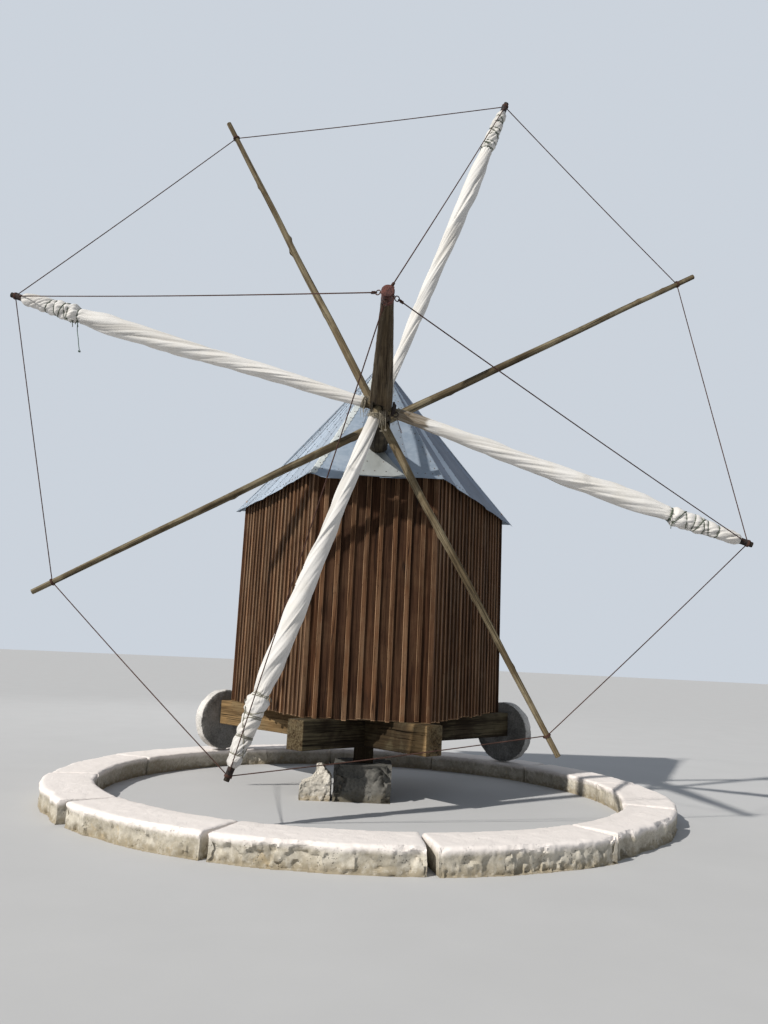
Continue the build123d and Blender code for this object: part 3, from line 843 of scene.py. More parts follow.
# The pier stone is grey stone darkened further: painted shade from the house above it
PIER_ROCK_WITH_PAINTED_SHADE = stone("pier stone", (0.070, 0.070, 0.064), (0.165, 0.160, 0.145), (0.22, 0.14, 0.06), 0.3, 0.009,
                  dirt=(0.02, 0.14, (0.12, 0.105, 0.075)))
BROKEN_ROCK = stone("broken limestone", (0.40, 0.375, 0.325), (0.74, 0.70, 0.63), (0.62, 0.30, 0.06), 0.7,
                    0.008, dirt=(0.02, 0.10, (0.30, 0.25, 0.17)))
# One wheel stone in two copies: darkened for the faces as painted shade, much lighter for the tread as
# painted light
WHEEL_FACE_PAINTED_SHADE = stone("wheel stone", (0.095, 0.094, 0.090), (0.27, 0.265, 0.255), (0.20, 0.195, 0.17), 0.4,
                   0.007, coarse=1.3)
WHEEL_TREAD_PAINTED_LIGHT = stone("wheel tread", (0.34, 0.335, 0.32), (0.72, 0.70, 0.67), (0.45, 0.43, 0.38), 0.4,
                   0.007, coarse=1.3)
TIP_IRON = iron("black iron", (0.010, 0.008, 0.007), (0.034, 0.019, 0.015))
RUSTY = iron("rusty iron", (0.030, 0.020, 0.018), (0.130, 0.055, 0.035))
CAP_RUST = iron("red rusty iron", (0.045, 0.020, 0.018), (0.150, 0.052, 0.040))
NAIL = iron("dark nails", (0.06, 0.055, 0.05), (0.16, 0.12, 0.10))
ROOFING = sheet_metal("galvanised sheet", (0.195, 0.242, 0.300), (0.233, 0.280, 0.338))
BRIGHT_SHEET = sheet_metal("bright sheet", (0.40, 0.425, 0.415), (0.45, 0.475, 0.465))
# The right roof side's dark blue sheet: painted shade
BLUE_SHEET_PAINTED_SHADE = sheet_metal("blued sheet", (0.052, 0.078, 0.127), (0.068, 0.097, 0.152))
CANVAS = canvas("white sailcloth")
WIRE_ROPE = cordage("dark rope", (0.034, 0.017, 0.014), (0.115, 0.058, 0.043))
LASHING = cordage("lashing cord", (0.055, 0.075, 0.058), (0.18, 0.205, 0.155))
PALE_CORD = cordage("pale cord", (0.14, 0.135, 0.105), (0.38, 0.365, 0.30))
GREEN_CORD = cordage("green cord", (0.06, 0.10, 0.08), (0.19, 0.27, 0.22))
FRAYED = cordage("frayed rope", (0.15, 0.130, 0.095), (0.42, 0.38, 0.30))

# Camera, fitted to the photograph

camera_data = bpy.data.cameras.new("photo view")
camera_data.lens = 29.07
camera_data.sensor_width = 36.0
camera_data.clip_end = 500
camera = put_in_scene("photo view", camera_data)
yaw = radians(0.897)
pitch = radians(9.971)
roll = radians(2.631)
sight = Vector((sin(yaw) * cos(pitch), cos(yaw) * cos(pitch), sin(pitch)))
level = Vector((cos(yaw), -sin(yaw), 0))
top = level.cross(sight)
camera.matrix_world = axes(level * cos(roll) + top * sin(roll), top * cos(roll) - level * sin(roll), -sight,
                           (-0.0408, -8.8621, 1.4282))
bpy.context.scene.camera = camera

# Light and floor


def lamp(name, kind, spot, aim, power, colour=(1, 1, 1), **shape):
    data = bpy.data.lights.new(name, kind)
    data.energy = power
    data.color = colour
    for label, value in shape.items():
        setattr(data, label, value)
    light = put_in_scene(name, data)
    light.location = spot
    light.rotation_euler = (Vector(spot) - Vector(aim)).to_track_quat("Z", "Y").to_euler()


lamp("key", "SUN", (-11.6, -10.2, 13.6), (0, 0, 2.3), 4.05, (1.0, 0.955, 0.89), angle=radians(1.2))
lamp("fill", "AREA", (6, -13, 6), (0, 0, 2), 30, shape="DISK", size=7.0)
lamp("back", "AREA", (-5, 12, 9), (0, 0, 3), 180, shape="DISK", size=7.0)

world = bpy.data.worlds.new("studio")
bpy.context.scene.world = world
world.use_nodes = True
sky = world.node_tree
background = sky.nodes["Background"].inputs
path = lay(sky, "LightPath").outputs
shown = sums(sky, "MAXIMUM", path["Is Camera Ray"], path["Is Glossy Ray"])
seen = sums(sky, "MAXIMUM", shown, path["Is Transmission Ray"])
fill(sky, background["Color"], tint(sky, seen, (0.80, 0.88, 1.0), (0.60, 0.65, 0.715)))
fill(sky, background["Strength"], span(sky, seen, 0.0, 1.0, 0.30, 1.0))

floor = start("floor", bpy.ops.mesh.primitive_circle_add, vertices=96, radius=140, fill_type="NGON")
floor_paint, floor_tree = material("pale floor")
floor_grain = speckle(floor_tree, place_of(floor_tree), 1.4, 5.0)
floor_colour = tint(floor_tree, floor_grain, (0.50, 0.505, 0.51), (0.55, 0.555, 0.56))
settle(floor_tree, Base_Color=floor_colour, Roughness=0.9, Specular_IOR_Level=DULL)
floor.data.materials.append(floor_paint)
bpy.context.scene.view_settings.view_transform = "Standard"

# The cord's end that hangs from one sail's tie: the points of its route, from where it leaves the sail

LOOSE_CORD_ROUTE = [(0, 0, 0), (0.002, -0.001, -0.058), (0.011, -0.005, -0.112), (0.027, -0.008, -0.168),
                    (0.033, -0.003, -0.226), (0.046, 0, -0.280)]
LOOSE_CORD_R, LOOSE_CORD_GAP = 0.004, 0.001
# Distances of a frayed strand beyond the cord's end and to the side
STRAND_ROUTE = ((0.008, 0.0), (0.016, 0.002), (0.0225, 0.006))
cord_exit = arm_frame("b") @ Vector((0, -(SAIL_R * ROLL_TO_TIE[-1][1] + LOOSE_CORD_GAP), tie_reach("b")))
cord_points = [cord_exit + Vector(offset) for offset in LOOSE_CORD_ROUTE]
cord_data = bpy.data.curves.new("hanging_cord", "CURVE")
cord_data.dimensions = "3D"
cord_data.resolution_u = 16
run = cord_data.splines.new("NURBS")
run.points.add(len(cord_points) - 1)
for point, spot in zip(run.points, cord_points):
    point.co = (*spot, 1.0)
run.order_u = 3
run.use_endpoint_u = True
run.resolution_u = 16
cord_piece = put_in_scene("hanging_cord", cord_data)
walked = bpy.data.meshes.new_from_object(cord_piece.evaluated_get(bpy.context.evaluated_depsgraph_get()))
cord_line = [point.co.copy() for point in walked.vertices]
cord_length = follow(cord_line)[0]
scrap(cord_piece)
hanging_cord = smooth(laid_rope("hanging_cord", cord_line, LOOSE_CORD_R, 12, 0.026), 60)
dress(hanging_cord, "rotor", "lashing_cord", GREEN_CORD, stands_for=["loose_cord"])
tip = cord_line[-1]
end_run = (cord_points[-1] - cord_points[-2]).normalized()
parts = [knot(tip + end_run * 0.010, end_run, 0.0085, 0.0038)]
for side in (0, 2.2, 4.1):
    across = end_run.orthogonal().normalized()
    across = across * cos(side) + end_run.cross(across) * sin(side)
    tail = [tip + end_run * beyond + across * aside for beyond, aside in STRAND_ROUTE]
    parts.append(laid_rope("strand", soften(tail), 0.0020, 6))
cord_end = finish("cord_end_knot", parts, 60, "rotor", "lashing_cord", GREEN_CORD, stands_for=["cord_knot"])

# Stones


def hew(piece, depth, scale, seed, voxel, floor_z=0.0, polish=2):
    """Breaks a squared stone's surface inwards, by a depth worked out from the point and its normal."""
    work(piece, "REMESH", mode="VOXEL", voxel_size=voxel, adaptivity=0.0)
    if polish:
        work(piece, "SMOOTH", factor=0.5, iterations=polish)
    points = piece.data.vertices
    normals = [point.normal.copy() for point in points]
    for point, normal in zip(points, normals):
        amount = depth(point.co, normal)
        if floor_z == 0.0 and normal.z < 0:
            normal = Vector((normal.x, normal.y, 0))
        facets = 0.50 * chip(point.co, 1.0 / scale, seed) + 0.25 * chip(point.co, 0.38 / scale, seed + 1)
        facets += (0.25 * abs(rough(point.co, scale, seed))
                   + 0.25 * abs(wander(point.co, scale * 0.35, seed + 2)))
        point.co -= normal * amount * facets
        point.co.z = max(point.co.z, floor_z)
    piece.data.update()
    return smooth(piece, 42)


def ring_depth(co, normal):
    """The ring's outer face is the most broken, its top the least."""
    facing = (normal.x * co.x + normal.y * co.y) / hypot(co.x, co.y)
    gone = 0.040 * ease(wander(co, 1.9, 60), 0.02, 0.35)
    if facing > 0.35:
        return 0.048 * ease(RING_TOP - co.z, 0.0, 0.12) + 0.012 + gone
    if facing < -0.35:
        return 0.036 * ease(RING_TOP - co.z, 0.0, 0.08) + 0.014
    return 0.008 if normal.z > 0.5 else 0.014


def top_edge(middle, way):
    """True for an edge along a ring stone's top, before the stone is bent round."""
    return abs(way.x) > 0.9 and middle.z > RING_TOP - 0.01


chance = random.Random(7)
stone_turn = tau / RING_STONES
for number in range(RING_STONES):
    outer_r = RING_OUTER_R + RING_WAVE * sin(2.3 * number)
    inner_r = RING_INNER_R - RING_WAVE * sin(1.7 * number + 1)
    middle_angle = radians(RING_START) + stone_turn * (number + 0.5)
    middle_r, width = (outer_r + inner_r) / 2, outer_r - inner_r
    block_name = f"ring_stone_block_{number + 1:02d}"
    ring_stone = block(block_name, (stone_turn, width, RING_TOP), (0, 0, RING_TOP / 2))
    divide_along(ring_stone, 0, 16)
    with edit(ring_stone, "EDGE"):
        mark_edges(lambda middle, way: top_edge(middle, way) and middle.y > 0)
        bpy.ops.mesh.bevel(offset=0.038, segments=3)
        bpy.ops.mesh.select_all(action="DESELECT")
        mark_edges(lambda middle, way: top_edge(middle, way) and middle.y < -width / 2 + 0.01)
        bpy.ops.mesh.bevel(offset=0.020, segments=2)
    # The joints stand a little open and their outer corners are broken off
    breaks = [chance.uniform(0.01, 0.075) if chance.random() < 0.6 else 0.008 for _ in range(2)]
    joint = 0.004 / middle_r

    def bend_round(co):
        share = co.x / (stone_turn / 2)
        angle = middle_angle + co.x * (1 - joint * 2 / stone_turn)
        reach = middle_r + co.y
        wave = wander((angle * 5.0, width * 40, 0), 1.0, 12)
        wave += 0.5 * wander((angle * 14.0, width * 40, 3), 1.0, 13)
        reach -= 0.050 * max(0.0, wave) * ease(co.y, 0.0, width / 2)
        reach += 0.030 * max(0.0, -wave) * ease(-co.y, 0.05, width / 2)
        outer = ease(co.y, -width * 0.1, width / 2)
        bite = breaks[1] if share > 0 else breaks[0]
        angle -= (1 if share > 0 else -1) * bite / middle_r * outer * ease(abs(share), 0.9, 1.0)
        return Vector((reach * cos(angle), reach * sin(angle), co.z))

    carve(ring_stone, bend_round)
    hew(ring_stone, ring_depth, 6.5, number, 0.0155)
    dress(ring_stone, "base", "ring_limestone", RING_ROCK, stands_for=[f"ring_stone_{number + 1:02d}"])


def pivot_depth(co, normal):
    """The top stays flat under the timber; the corners are the most worn."""
    corner = ease(min(abs(co.x), abs(co.y)), 0.17, 0.30)
    seam = 0.03 * abs(wander((0, 0, co.z), 9.0, 4))
    return 0.004 if normal.z > 0.8 and corner < 0.5 else 0.050 + 0.085 * corner + seam


pivot_stone = block("pivot_stone_block", (0.600, 0.600, 0.360), (0, 0, 0.180))
hew(pivot_stone, pivot_depth, 6.0, 31, 0.012)
dress(pivot_stone, "base", "pivot_limestone", PIER_ROCK_WITH_PAINTED_SHADE, stands_for=["pivot_stone"])

# Low broken stone that rises to a horn beside the pivot stone

BROKEN_LENGTH, BROKEN_DEPTH = 0.330, 0.300
BROKEN_PROFILE = [(0.0, 0.168), (0.22, 0.198), (0.40, 0.240), (0.52, 0.318), (0.60, 0.362), (0.76, 0.358),
                  (0.88, 0.292), (1.0, 0.225)]


def raise_horn(co):
    height = co.z * between(BROKEN_PROFILE, co.x / BROKEN_LENGTH + 0.5)
    narrow = 1 - 0.50 * ease(height, 0.16, 0.37)
    hook = -0.030 * ease(height, 0.24, 0.37)
    return Vector((co.x + hook - 0.300 - BROKEN_LENGTH / 2, co.y * narrow - BROKEN_DEPTH / 2, height))


broken_stone = block("broken_block", (BROKEN_LENGTH, BROKEN_DEPTH, 1.0), (0, 0, 0.5))
for axis in range(3):
    divide_along(broken_stone, axis, 24)
carve(broken_stone, raise_horn)
hew(broken_stone, lambda co, normal: 0.040, 12.0, 37, 0.009)
dress(broken_stone, "base", "pivot_limestone", BROKEN_ROCK, stands_for=["broken_stone"])

for turn, side_name in ((-1, "left"), (1, "right")):
    wheel = rod(f"stone_wheel_{side_name}", 72, WHEEL_THICKNESS, WHEEL_R)
    with edit(wheel):
        bore(WHEEL_R - AXLE_R - 0.003, AXLE_R * 1.5)
        bpy.ops.mesh.select_all(action="DESELECT")
        mark_edges(lambda middle, way: hypot(middle.x, middle.y) > WHEEL_R * 0.98 and abs(way.z) < 0.1)
        bpy.ops.mesh.bevel(offset=0.014, segments=3)
    outwards(wheel)
    heading = corner_heading(turn)
    middle = heading * TRACK_R + UP * WHEEL_Z
    inner_face = heading * (TRACK_R - WHEEL_THICKNESS / 2) + UP * WHEEL_Z
    place(wheel, axes(UP, heading.cross(UP), heading, inner_face))

    def wheel_depth(co, normal):
        offset = co - middle
        reach = (offset - heading * offset.dot(heading)).length
        if reach < 0.06:
            return 0.0
        rim = ease(reach, WHEEL_R - 0.05, WHEEL_R)
        return 0.006 + 0.018 * rim * (0.3 + abs(wander(co, 5.0, 3)))

    hew(wheel, wheel_depth, 10.0, 41 + turn, 0.012, -1.0, 0)
    wheel_node = f"wheel_{side_name}"
    dress(wheel, wheel_node, "wheel_stone", WHEEL_FACE_PAINTED_SHADE, WHEEL_TREAD_PAINTED_LIGHT, stands_for=[wheel_node])
    # The tread's faces take the lighter copy: painted light
    for face in wheel.data.polygons:
        painted_light_tread = (face.center - middle).length > WHEEL_R * 0.9
        face.material_index = int(painted_light_tread and abs(face.normal.dot(heading)) < 0.75)

# Beams under the house

# Drying cracks: middle, length, width, depth and turn round the beam
BEAM_CRACKS = (
    ((0.11, 0.73, -0.60), 0.62, 0.012, 0.07, 90),
    ((0.11, 0.66, -0.74), 0.40, 0.007, 0.05, 90),
    ((-0.11, 0.69, -0.62), 0.55, 0.010, 0.06, 90),
    ((-0.11, 0.60, -0.40), 0.36, 0.006, 0.05, 90),
    ((0.11, 0.68, 1.10), 0.80, 0.009, 0.06, 90),
    ((-0.11, 0.64, 1.55), 0.70, 0.008, 0.05, 90),
    ((0.03, 0.525, 0.80), 0.90, 0.008, 0.06, 0),
)


def crack_cutter(cracks):
    """Long thin wedges that open drying cracks."""
    wedges = []
    for number, (spot, length, wide, deep, angle) in enumerate(cracks):
        wedge = ball(f"wedge_{number}", 6, 10, 0.5)
        carve(wedge, lambda co: Vector((co.x * wide, co.y * deep, co.z * length)))
        carve(wedge, lambda co: co + Vector((0.35 * wide * sin(co.z / length * 11 + number), 0, 0)))
        place(wedge, turned(angle, "Z"))
        wedges.append(place(wedge, Matrix.Translation(spot)))
    return put_together("wedges", wedges)


for turn, side_name in ((-1, "left"), (1, "right")):
    beam = block(f"cross_beam_{side_name}", (BEAM_WIDTH, BEAM_HEIGHT, BEAM_FRONT_REACH + BEAM_REAR_REACH),
                 (0, BEAM_BOTTOM + BEAM_HEIGHT / 2, (BEAM_REAR_REACH - BEAM_FRONT_REACH) / 2))
    divide_along(beam, 2, 24)
    break_edges(beam, 0.009, 2)
    seed = 50 + turn

    def warp_beam(co):
        lift = 0.003 * wander(co, 3.0, seed + 1) * ease(BEAM_TOP - co.y, 0, 0.1)
        return co + Vector((0.004 * wander(co, 2.5, seed) - 0.001, lift, 0))

    carve(beam, warp_beam)
    lap_middle = BEAM_BOTTOM if turn < 0 else BEAM_TOP
    lap = block("lap", (3 * BEAM_WIDTH, BEAM_HEIGHT, BEAM_WIDTH + 0.002), (0, lap_middle, 0))
    cut(beam, place(lap, Matrix.Rotation((2 * DIAGONAL - pi / 2) * turn, 4, "Y")))
    end_cracks = tuple((spot, 0.05, 0.006, deep, 35 * turn) for spot, deep in (
        ((0.02, 0.68, -BEAM_FRONT_REACH), 0.10), ((-0.05, 0.62, -BEAM_FRONT_REACH), 0.07)))
    cut(beam, crack_cutter(BEAM_CRACKS + end_cracks))
    add_grain(beam, 0.5, (0, 3 * turn, 0))
    # The left beam is pale towards both ends with a darker front face; the right one is dark with a paler
    # one. This tone is painted light and shade, pale where the sun falls and dark where the house shades the
    # beams, and only partly the paler weathering of the ends.
    least, front, face_tone, rear = (0.14, 0.86, -0.55, 0.56) if turn < 0 else (0.02, 0.0, 0.30, 0.12)
    grow(beam, "tone", lambda co: least + front * ease(-co.z, 0.74, 0.93)
         + face_tone * ease(-co.z, 0.985, 0.992) + rear * ease(co.z, 0.5, 1.0))
    heading = corner_heading(turn)
    place(beam, axes(UP.cross(heading), UP, heading))
    smooth(beam, 30)
    dress(beam, "mill_house", "raw_timber", RAW_BEAM, stands_for=[f"diagonal_beam_{side_name}"])

# Walls of upright boards and cover strips

BOARD_WIDE, BOARD_THICK = 0.140, 0.020
STRIP_WIDE, STRIP_THICK = 0.046, 0.026
BOARD_GAP = 0.003
LYING = turned(90, "Y")


def board_master(name, width, thick, edge):
    """One sawn board, 1 m long, whose bevelled edges get a lighter material of their own, a painted
    highlight.
    """
    master = block(name, (width, thick, 1.0), (0, 0, 0.5))
    divide_along(master, 2, 5)
    master.data.materials.append(BOARDS)
    master.data.materials.append(BOARD_EDGES_PAINTED_HIGHLIGHT)
    return break_edges(master, edge, material=1)


board_unit = board_master("board_unit", BOARD_WIDE, BOARD_THICK, 0.0022)
strip_unit = board_master("strip_unit", STRIP_WIDE, STRIP_THICK, 0.0034)
chance = random.Random(23)


def board(unit, width, left, depth, low, high, matrix, tone, paint):
    """Copies one board to its place on a wall: left edge, depth from the outside, lower and upper end."""
    piece = another(unit, "board")
    bow, lean, seed = chance.uniform(-0.0015, 0.0015), chance.uniform(-0.0015, 0.0015), chance.uniform(0, 40)
    stretch = (width - (BOARD_WIDE if unit is board_unit else STRIP_WIDE)) / 2

    def fit(co):
        x = co.x + (stretch if co.x > 0 else -stretch) + lean * (0.5 - co.z) + width / 2
        return Vector((x, co.y + bow * sin(pi * co.z), co.z * (high - low)))

    carve(piece, fit)
    add_grain(piece, tone, (seed, seed * 0.37, chance.uniform(0, 9)))
    piece.data.materials[0] = paint
    return place(piece, matrix @ moved(left, depth, low))


def head_of(matrix, *places):
    """Height at which a board ends under the roof."""
    return min(under_roof(*(matrix @ Vector(spot)).to_2d()) for spot in places) - BEAM_TOP


def wall_parts(matrix, cells, joints):
    """Boards in the given cells (left, right, lower end), and strips over the joints (middle, lower end)."""
    parts = []
    for left, right, low in cells:
        foot = low + (chance.uniform(-0.006, 0.010) if low < 0.05 else 0.0)
        head = head_of(matrix, (left, STRIP_THICK, 0), (right, STRIP_THICK, 0)) - 0.004
        parts.append(board(board_unit, right - left - BOARD_GAP, left + BOARD_GAP / 2,
                           STRIP_THICK + BOARD_THICK / 2, foot, head, matrix,
                           chance.uniform(0.1, 0.9), BOARDS))
    for middle, low in joints:
        foot = low + (chance.uniform(-0.012, 0.012) if low < 0.05 else 0.0)
        head = head_of(matrix, (middle, 0, 0)) - 0.006
        parts.append(board(strip_unit, STRIP_WIDE * chance.uniform(0.95, 1.05), middle - STRIP_WIDE / 2,
                           STRIP_THICK / 2, foot, head, matrix, chance.uniform(0.3, 1.0), BATTENS))
    return parts


def lying_strip(name, matrix, wide, thick, length, tone, shift, spot):
    """A strip that lies across the boards."""
    strip = another(strip_unit, name)
    carve(strip, lambda co: Vector((co.x * wide, co.y * thick, co.z * length)))
    add_grain(strip, tone, shift)
    strip.data.materials[0] = BATTENS
    return place(strip, matrix @ moved(*spot) @ LYING)


DOOR_HEAD = SILL_TOP + DOOR_HEIGHT + DOOR_GAP - BEAM_TOP
JAMB = DOOR_WIDTH / 2 + DOOR_GAP
WALL_BOARDS = {"front": 9, "right": 20, "left": 20}
BESIDE_DOOR, OVER_DOOR = 9, 5


def plain_layout(length, count):
    """Cells and joints of a wall with no opening."""
    lines = [length / count * n for n in range(count + 1)]
    return [(a, b, 0.0) for a, b in zip(lines, lines[1:])], [(x, 0.0) for x in lines[1:-1]]


def rear_layout(length):
    """Cells and joints of the rear wall, beside its door and over it."""
    left_edge, right_edge = length / 2 - JAMB, length / 2 + JAMB
    cells, joints = plain_layout(left_edge, BESIDE_DOOR)
    cells += [(length - right, length - left, low) for left, right, low in cells]
    joints += [(length - middle, low) for middle, low in joints]
    over = [left_edge + 2 * JAMB / OVER_DOOR * n for n in range(OVER_DOOR + 1)]
    cells += [(a, b, DOOR_HEAD) for a, b in zip(over, over[1:])]
    joints += [(x, DOOR_HEAD + 0.09) for x in over[1:-1]]
    return cells, joints + [(left_edge - STRIP_WIDE / 2, 0.0), (right_edge + STRIP_WIDE / 2, 0.0)]


for side, side_name in enumerate(SIDES):
    matrix, length = wall_frame(side)
    has_door = side_name == "rear"
    cells, joints = rear_layout(length) if has_door else plain_layout(length, WALL_BOARDS[side_name])
    joints += [(STRIP_WIDE / 2, 0.0), (length - STRIP_WIDE / 2, 0.0)]
    parts = wall_parts(matrix, cells, joints)
    if has_door:
        parts.append(lying_strip("lintel", matrix, 1.9, 1, 2 * JAMB - 0.004, 0.6, (61, 3, 0),
                                 (length / 2 - JAMB + 0.002, STRIP_THICK / 2, DOOR_HEAD + 0.046)))
    dress(put_together(f"{side_name}_boards", parts), "mill_house", "stained_boards",
          stands_for=[f"{side_name}_wall"])

# Floor boards between the sills

FLOOR_ROWS = 15
inner = house_plan(WALL + SILL)
inner_front, inner_depth = inner[0][1], inner[3][1] - inner[0][1]
row_depth = inner_depth / FLOOR_ROWS


def fit_plank(co):
    share = (co.y - inner_front) / inner_depth
    half_width = -(inner[0][0] + (inner[3][0] - inner[0][0]) * share)
    return Vector((co.x * half_width, co.y, co.z))


parts = []
for number in range(FLOOR_ROWS):
    middle = (0, inner_front + row_depth * number + row_depth / 2, BEAM_TOP + FLOOR / 2)
    plank = block("plank", (2.0, row_depth - BOARD_GAP, FLOOR), middle)
    carve(break_edges(plank, 0.002), fit_plank)
    add_grain(place(plank, LYING), chance.uniform(0.2, 0.8), (number * 3.3, 0, number * 1.7))
    parts.append(place(plank, LYING.inverted()))
planks = put_together("floor_planks", parts)
dress(planks, "mill_house", "frame_timber", RAW_BEAM, stands_for=["floor_boards"])

# Door in the rear wall

matrix, length = wall_frame(2)
door_frame = matrix @ moved(length / 2 - DOOR_WIDTH / 2, 0, SILL_TOP - BEAM_TOP)
wide = DOOR_WIDTH / 5
parts = []
for number in range(5):
    parts.append(board(board_unit, wide - BOARD_GAP, wide * number + BOARD_GAP / 2, 0.020, 0.004, DOOR_HEIGHT,
                       door_frame, chance.uniform(0.2, 0.9), BOARDS))
for height in (0.22, 0.85, 1.48):
    parts.append(lying_strip("ledge", door_frame, 2.2, 0.6, DOOR_WIDTH - 0.04, 0.5, (17 + height, 3, 0),
                             (0.02, 0.038, height)))
dress(put_together("door_boards", parts), "mill_house", "stained_boards", stands_for=["rear_door"])

STRAP = 0.48


def narrow(co, height):
    """A hinge strap gets narrower towards its end."""
    return Vector((co.x, co.y, height + (co.z - height) * (1.0 - 0.45 * ease(co.x, 0.1, STRAP))))


parts = []
for height in (0.30, 1.42):
    strap = block("strap", (STRAP, 0.006, 0.044), (STRAP / 2, 0.007, height))
    divide_along(strap, 0, 6)
    carve(strap, lambda co: narrow(co, height))
    parts.append(break_edges(strap, 0.0015))
    knuckle = place(rod("knuckle", 16, 0.060, 0.009), moved(-0.006, -0.002, height - 0.030))
    parts.append(break_edges(knuckle, 0.0015))
    for reach in (0.05, 0.17, 0.29, 0.41):
        head = ball("head", 10, 6, 0.010)
        parts.append(carve(head, lambda co: Vector((co.x + reach, co.y * 0.5 + 0.0045, co.z + height))))
parts.append(break_edges(block("plate", (0.050, 0.005, 0.120), (0.655, 0.0075, 0.90)), 0.002, 2))
parts.append(hoop("ring", 0.038, 0.0055, 32, 10, rotation=(radians(78), 0, 0),
                  location=(0.655, -0.004, 0.885)))
parts.append(hoop("staple", 0.010, 0.004, 16, 8, rotation=(0, radians(90), 0),
                  location=(0.655, 0.001, 0.922)))
ironwork = place(put_together("door_ironwork", parts), door_frame)
dress(smooth(ironwork, 35), "mill_house", "rusty_iron", RUSTY)
scrap(board_unit)
scrap(strip_unit)

# Roof sheets

SHEET = 0.0016
NAIL_ROWS = 16
HIP_TEETH, HIP_NAILS = 68, 17
# Nails of the front triangle: across its side of the roof and down it
FRONT_NAILS = ((0.30, 0.965), (0.39, 0.97), (0.48, 0.968), (0.57, 0.97), (0.66, 0.962), (0.41, 0.895),
               (0.55, 0.895))
chance = random.Random(5)
nail_unit = ball("nail_unit", 8, 4, 0.0075)
carve(nail_unit, lambda co: Vector((co.x, co.y, co.z * 0.55)))
nails = []


def sag(share):
    """The slope hangs in a little between apex and eave."""
    return -0.020 * max(0.0, sin(pi * share)) ** 1.2


def roof_point(left, right, across, down, drop=0.0):
    """Point of a roof side in its own axes: across from one eave end to the other, down from the apex."""
    end = left.lerp(right, across)
    return Vector((end.x * down, end.y * down, sag(down) + drop))


def front_triangle(left, right):
    """The small pale sheet under the mast, nailed over the joints of the front."""
    sheet = flat_sheet("triangle", 8, 10)
    head, foot, middle, half = 0.715, 1.004, 0.480, 0.245

    def bend_triangle(co):
        down = head + (foot - head) * (1 - co.y) / 2
        share = max(0.02, (down - head) / (foot - head))
        spot = roof_point(left, right, middle + half * co.x * share, down)
        return spot + Vector((0, 0, 0.0125 + 0.002 * wander(spot, 4.0, 3)))

    grow(sheet, "sheet", lambda co: (co.x * 0.25, co.y * 0.2, 7))
    grow(sheet, "tone", 0.35)
    carve(sheet, bend_triangle)
    sheet.data.materials.append(BRIGHT_SHEET)
    return work(sheet, "SOLIDIFY", thickness=SHEET, offset=0.0)


def sheet_joints(side_name):
    """Places of the joints between a roof side's sheets, from 0 to 1 along its eave."""
    count = 6
    if side_name == "front":
        return [0.0, 0.26, 0.52, 0.76, 1.0]
    joints = [0.0] + [(n + chance.uniform(-0.12, 0.12)) / count for n in range(1, count)] + [1.0]
    return [0.0, 0.16, 0.32, 0.56, 0.78, 1.0] if side_name == "right" else joints


def sheet_tone(side_name, number, tone):
    # Painted light and shade: on the right side one sheet is light as a sunlit strip and the others dark, and
    # the left side is lighter than the rest
    if side_name == "right":
        return 0.8 if number == 1 else 0.35 + 0.3 * tone
    if side_name == "left":
        return 0.6 + 0.4 * tone
    return 0.35 + 0.4 * tone if side_name == "front" else tone


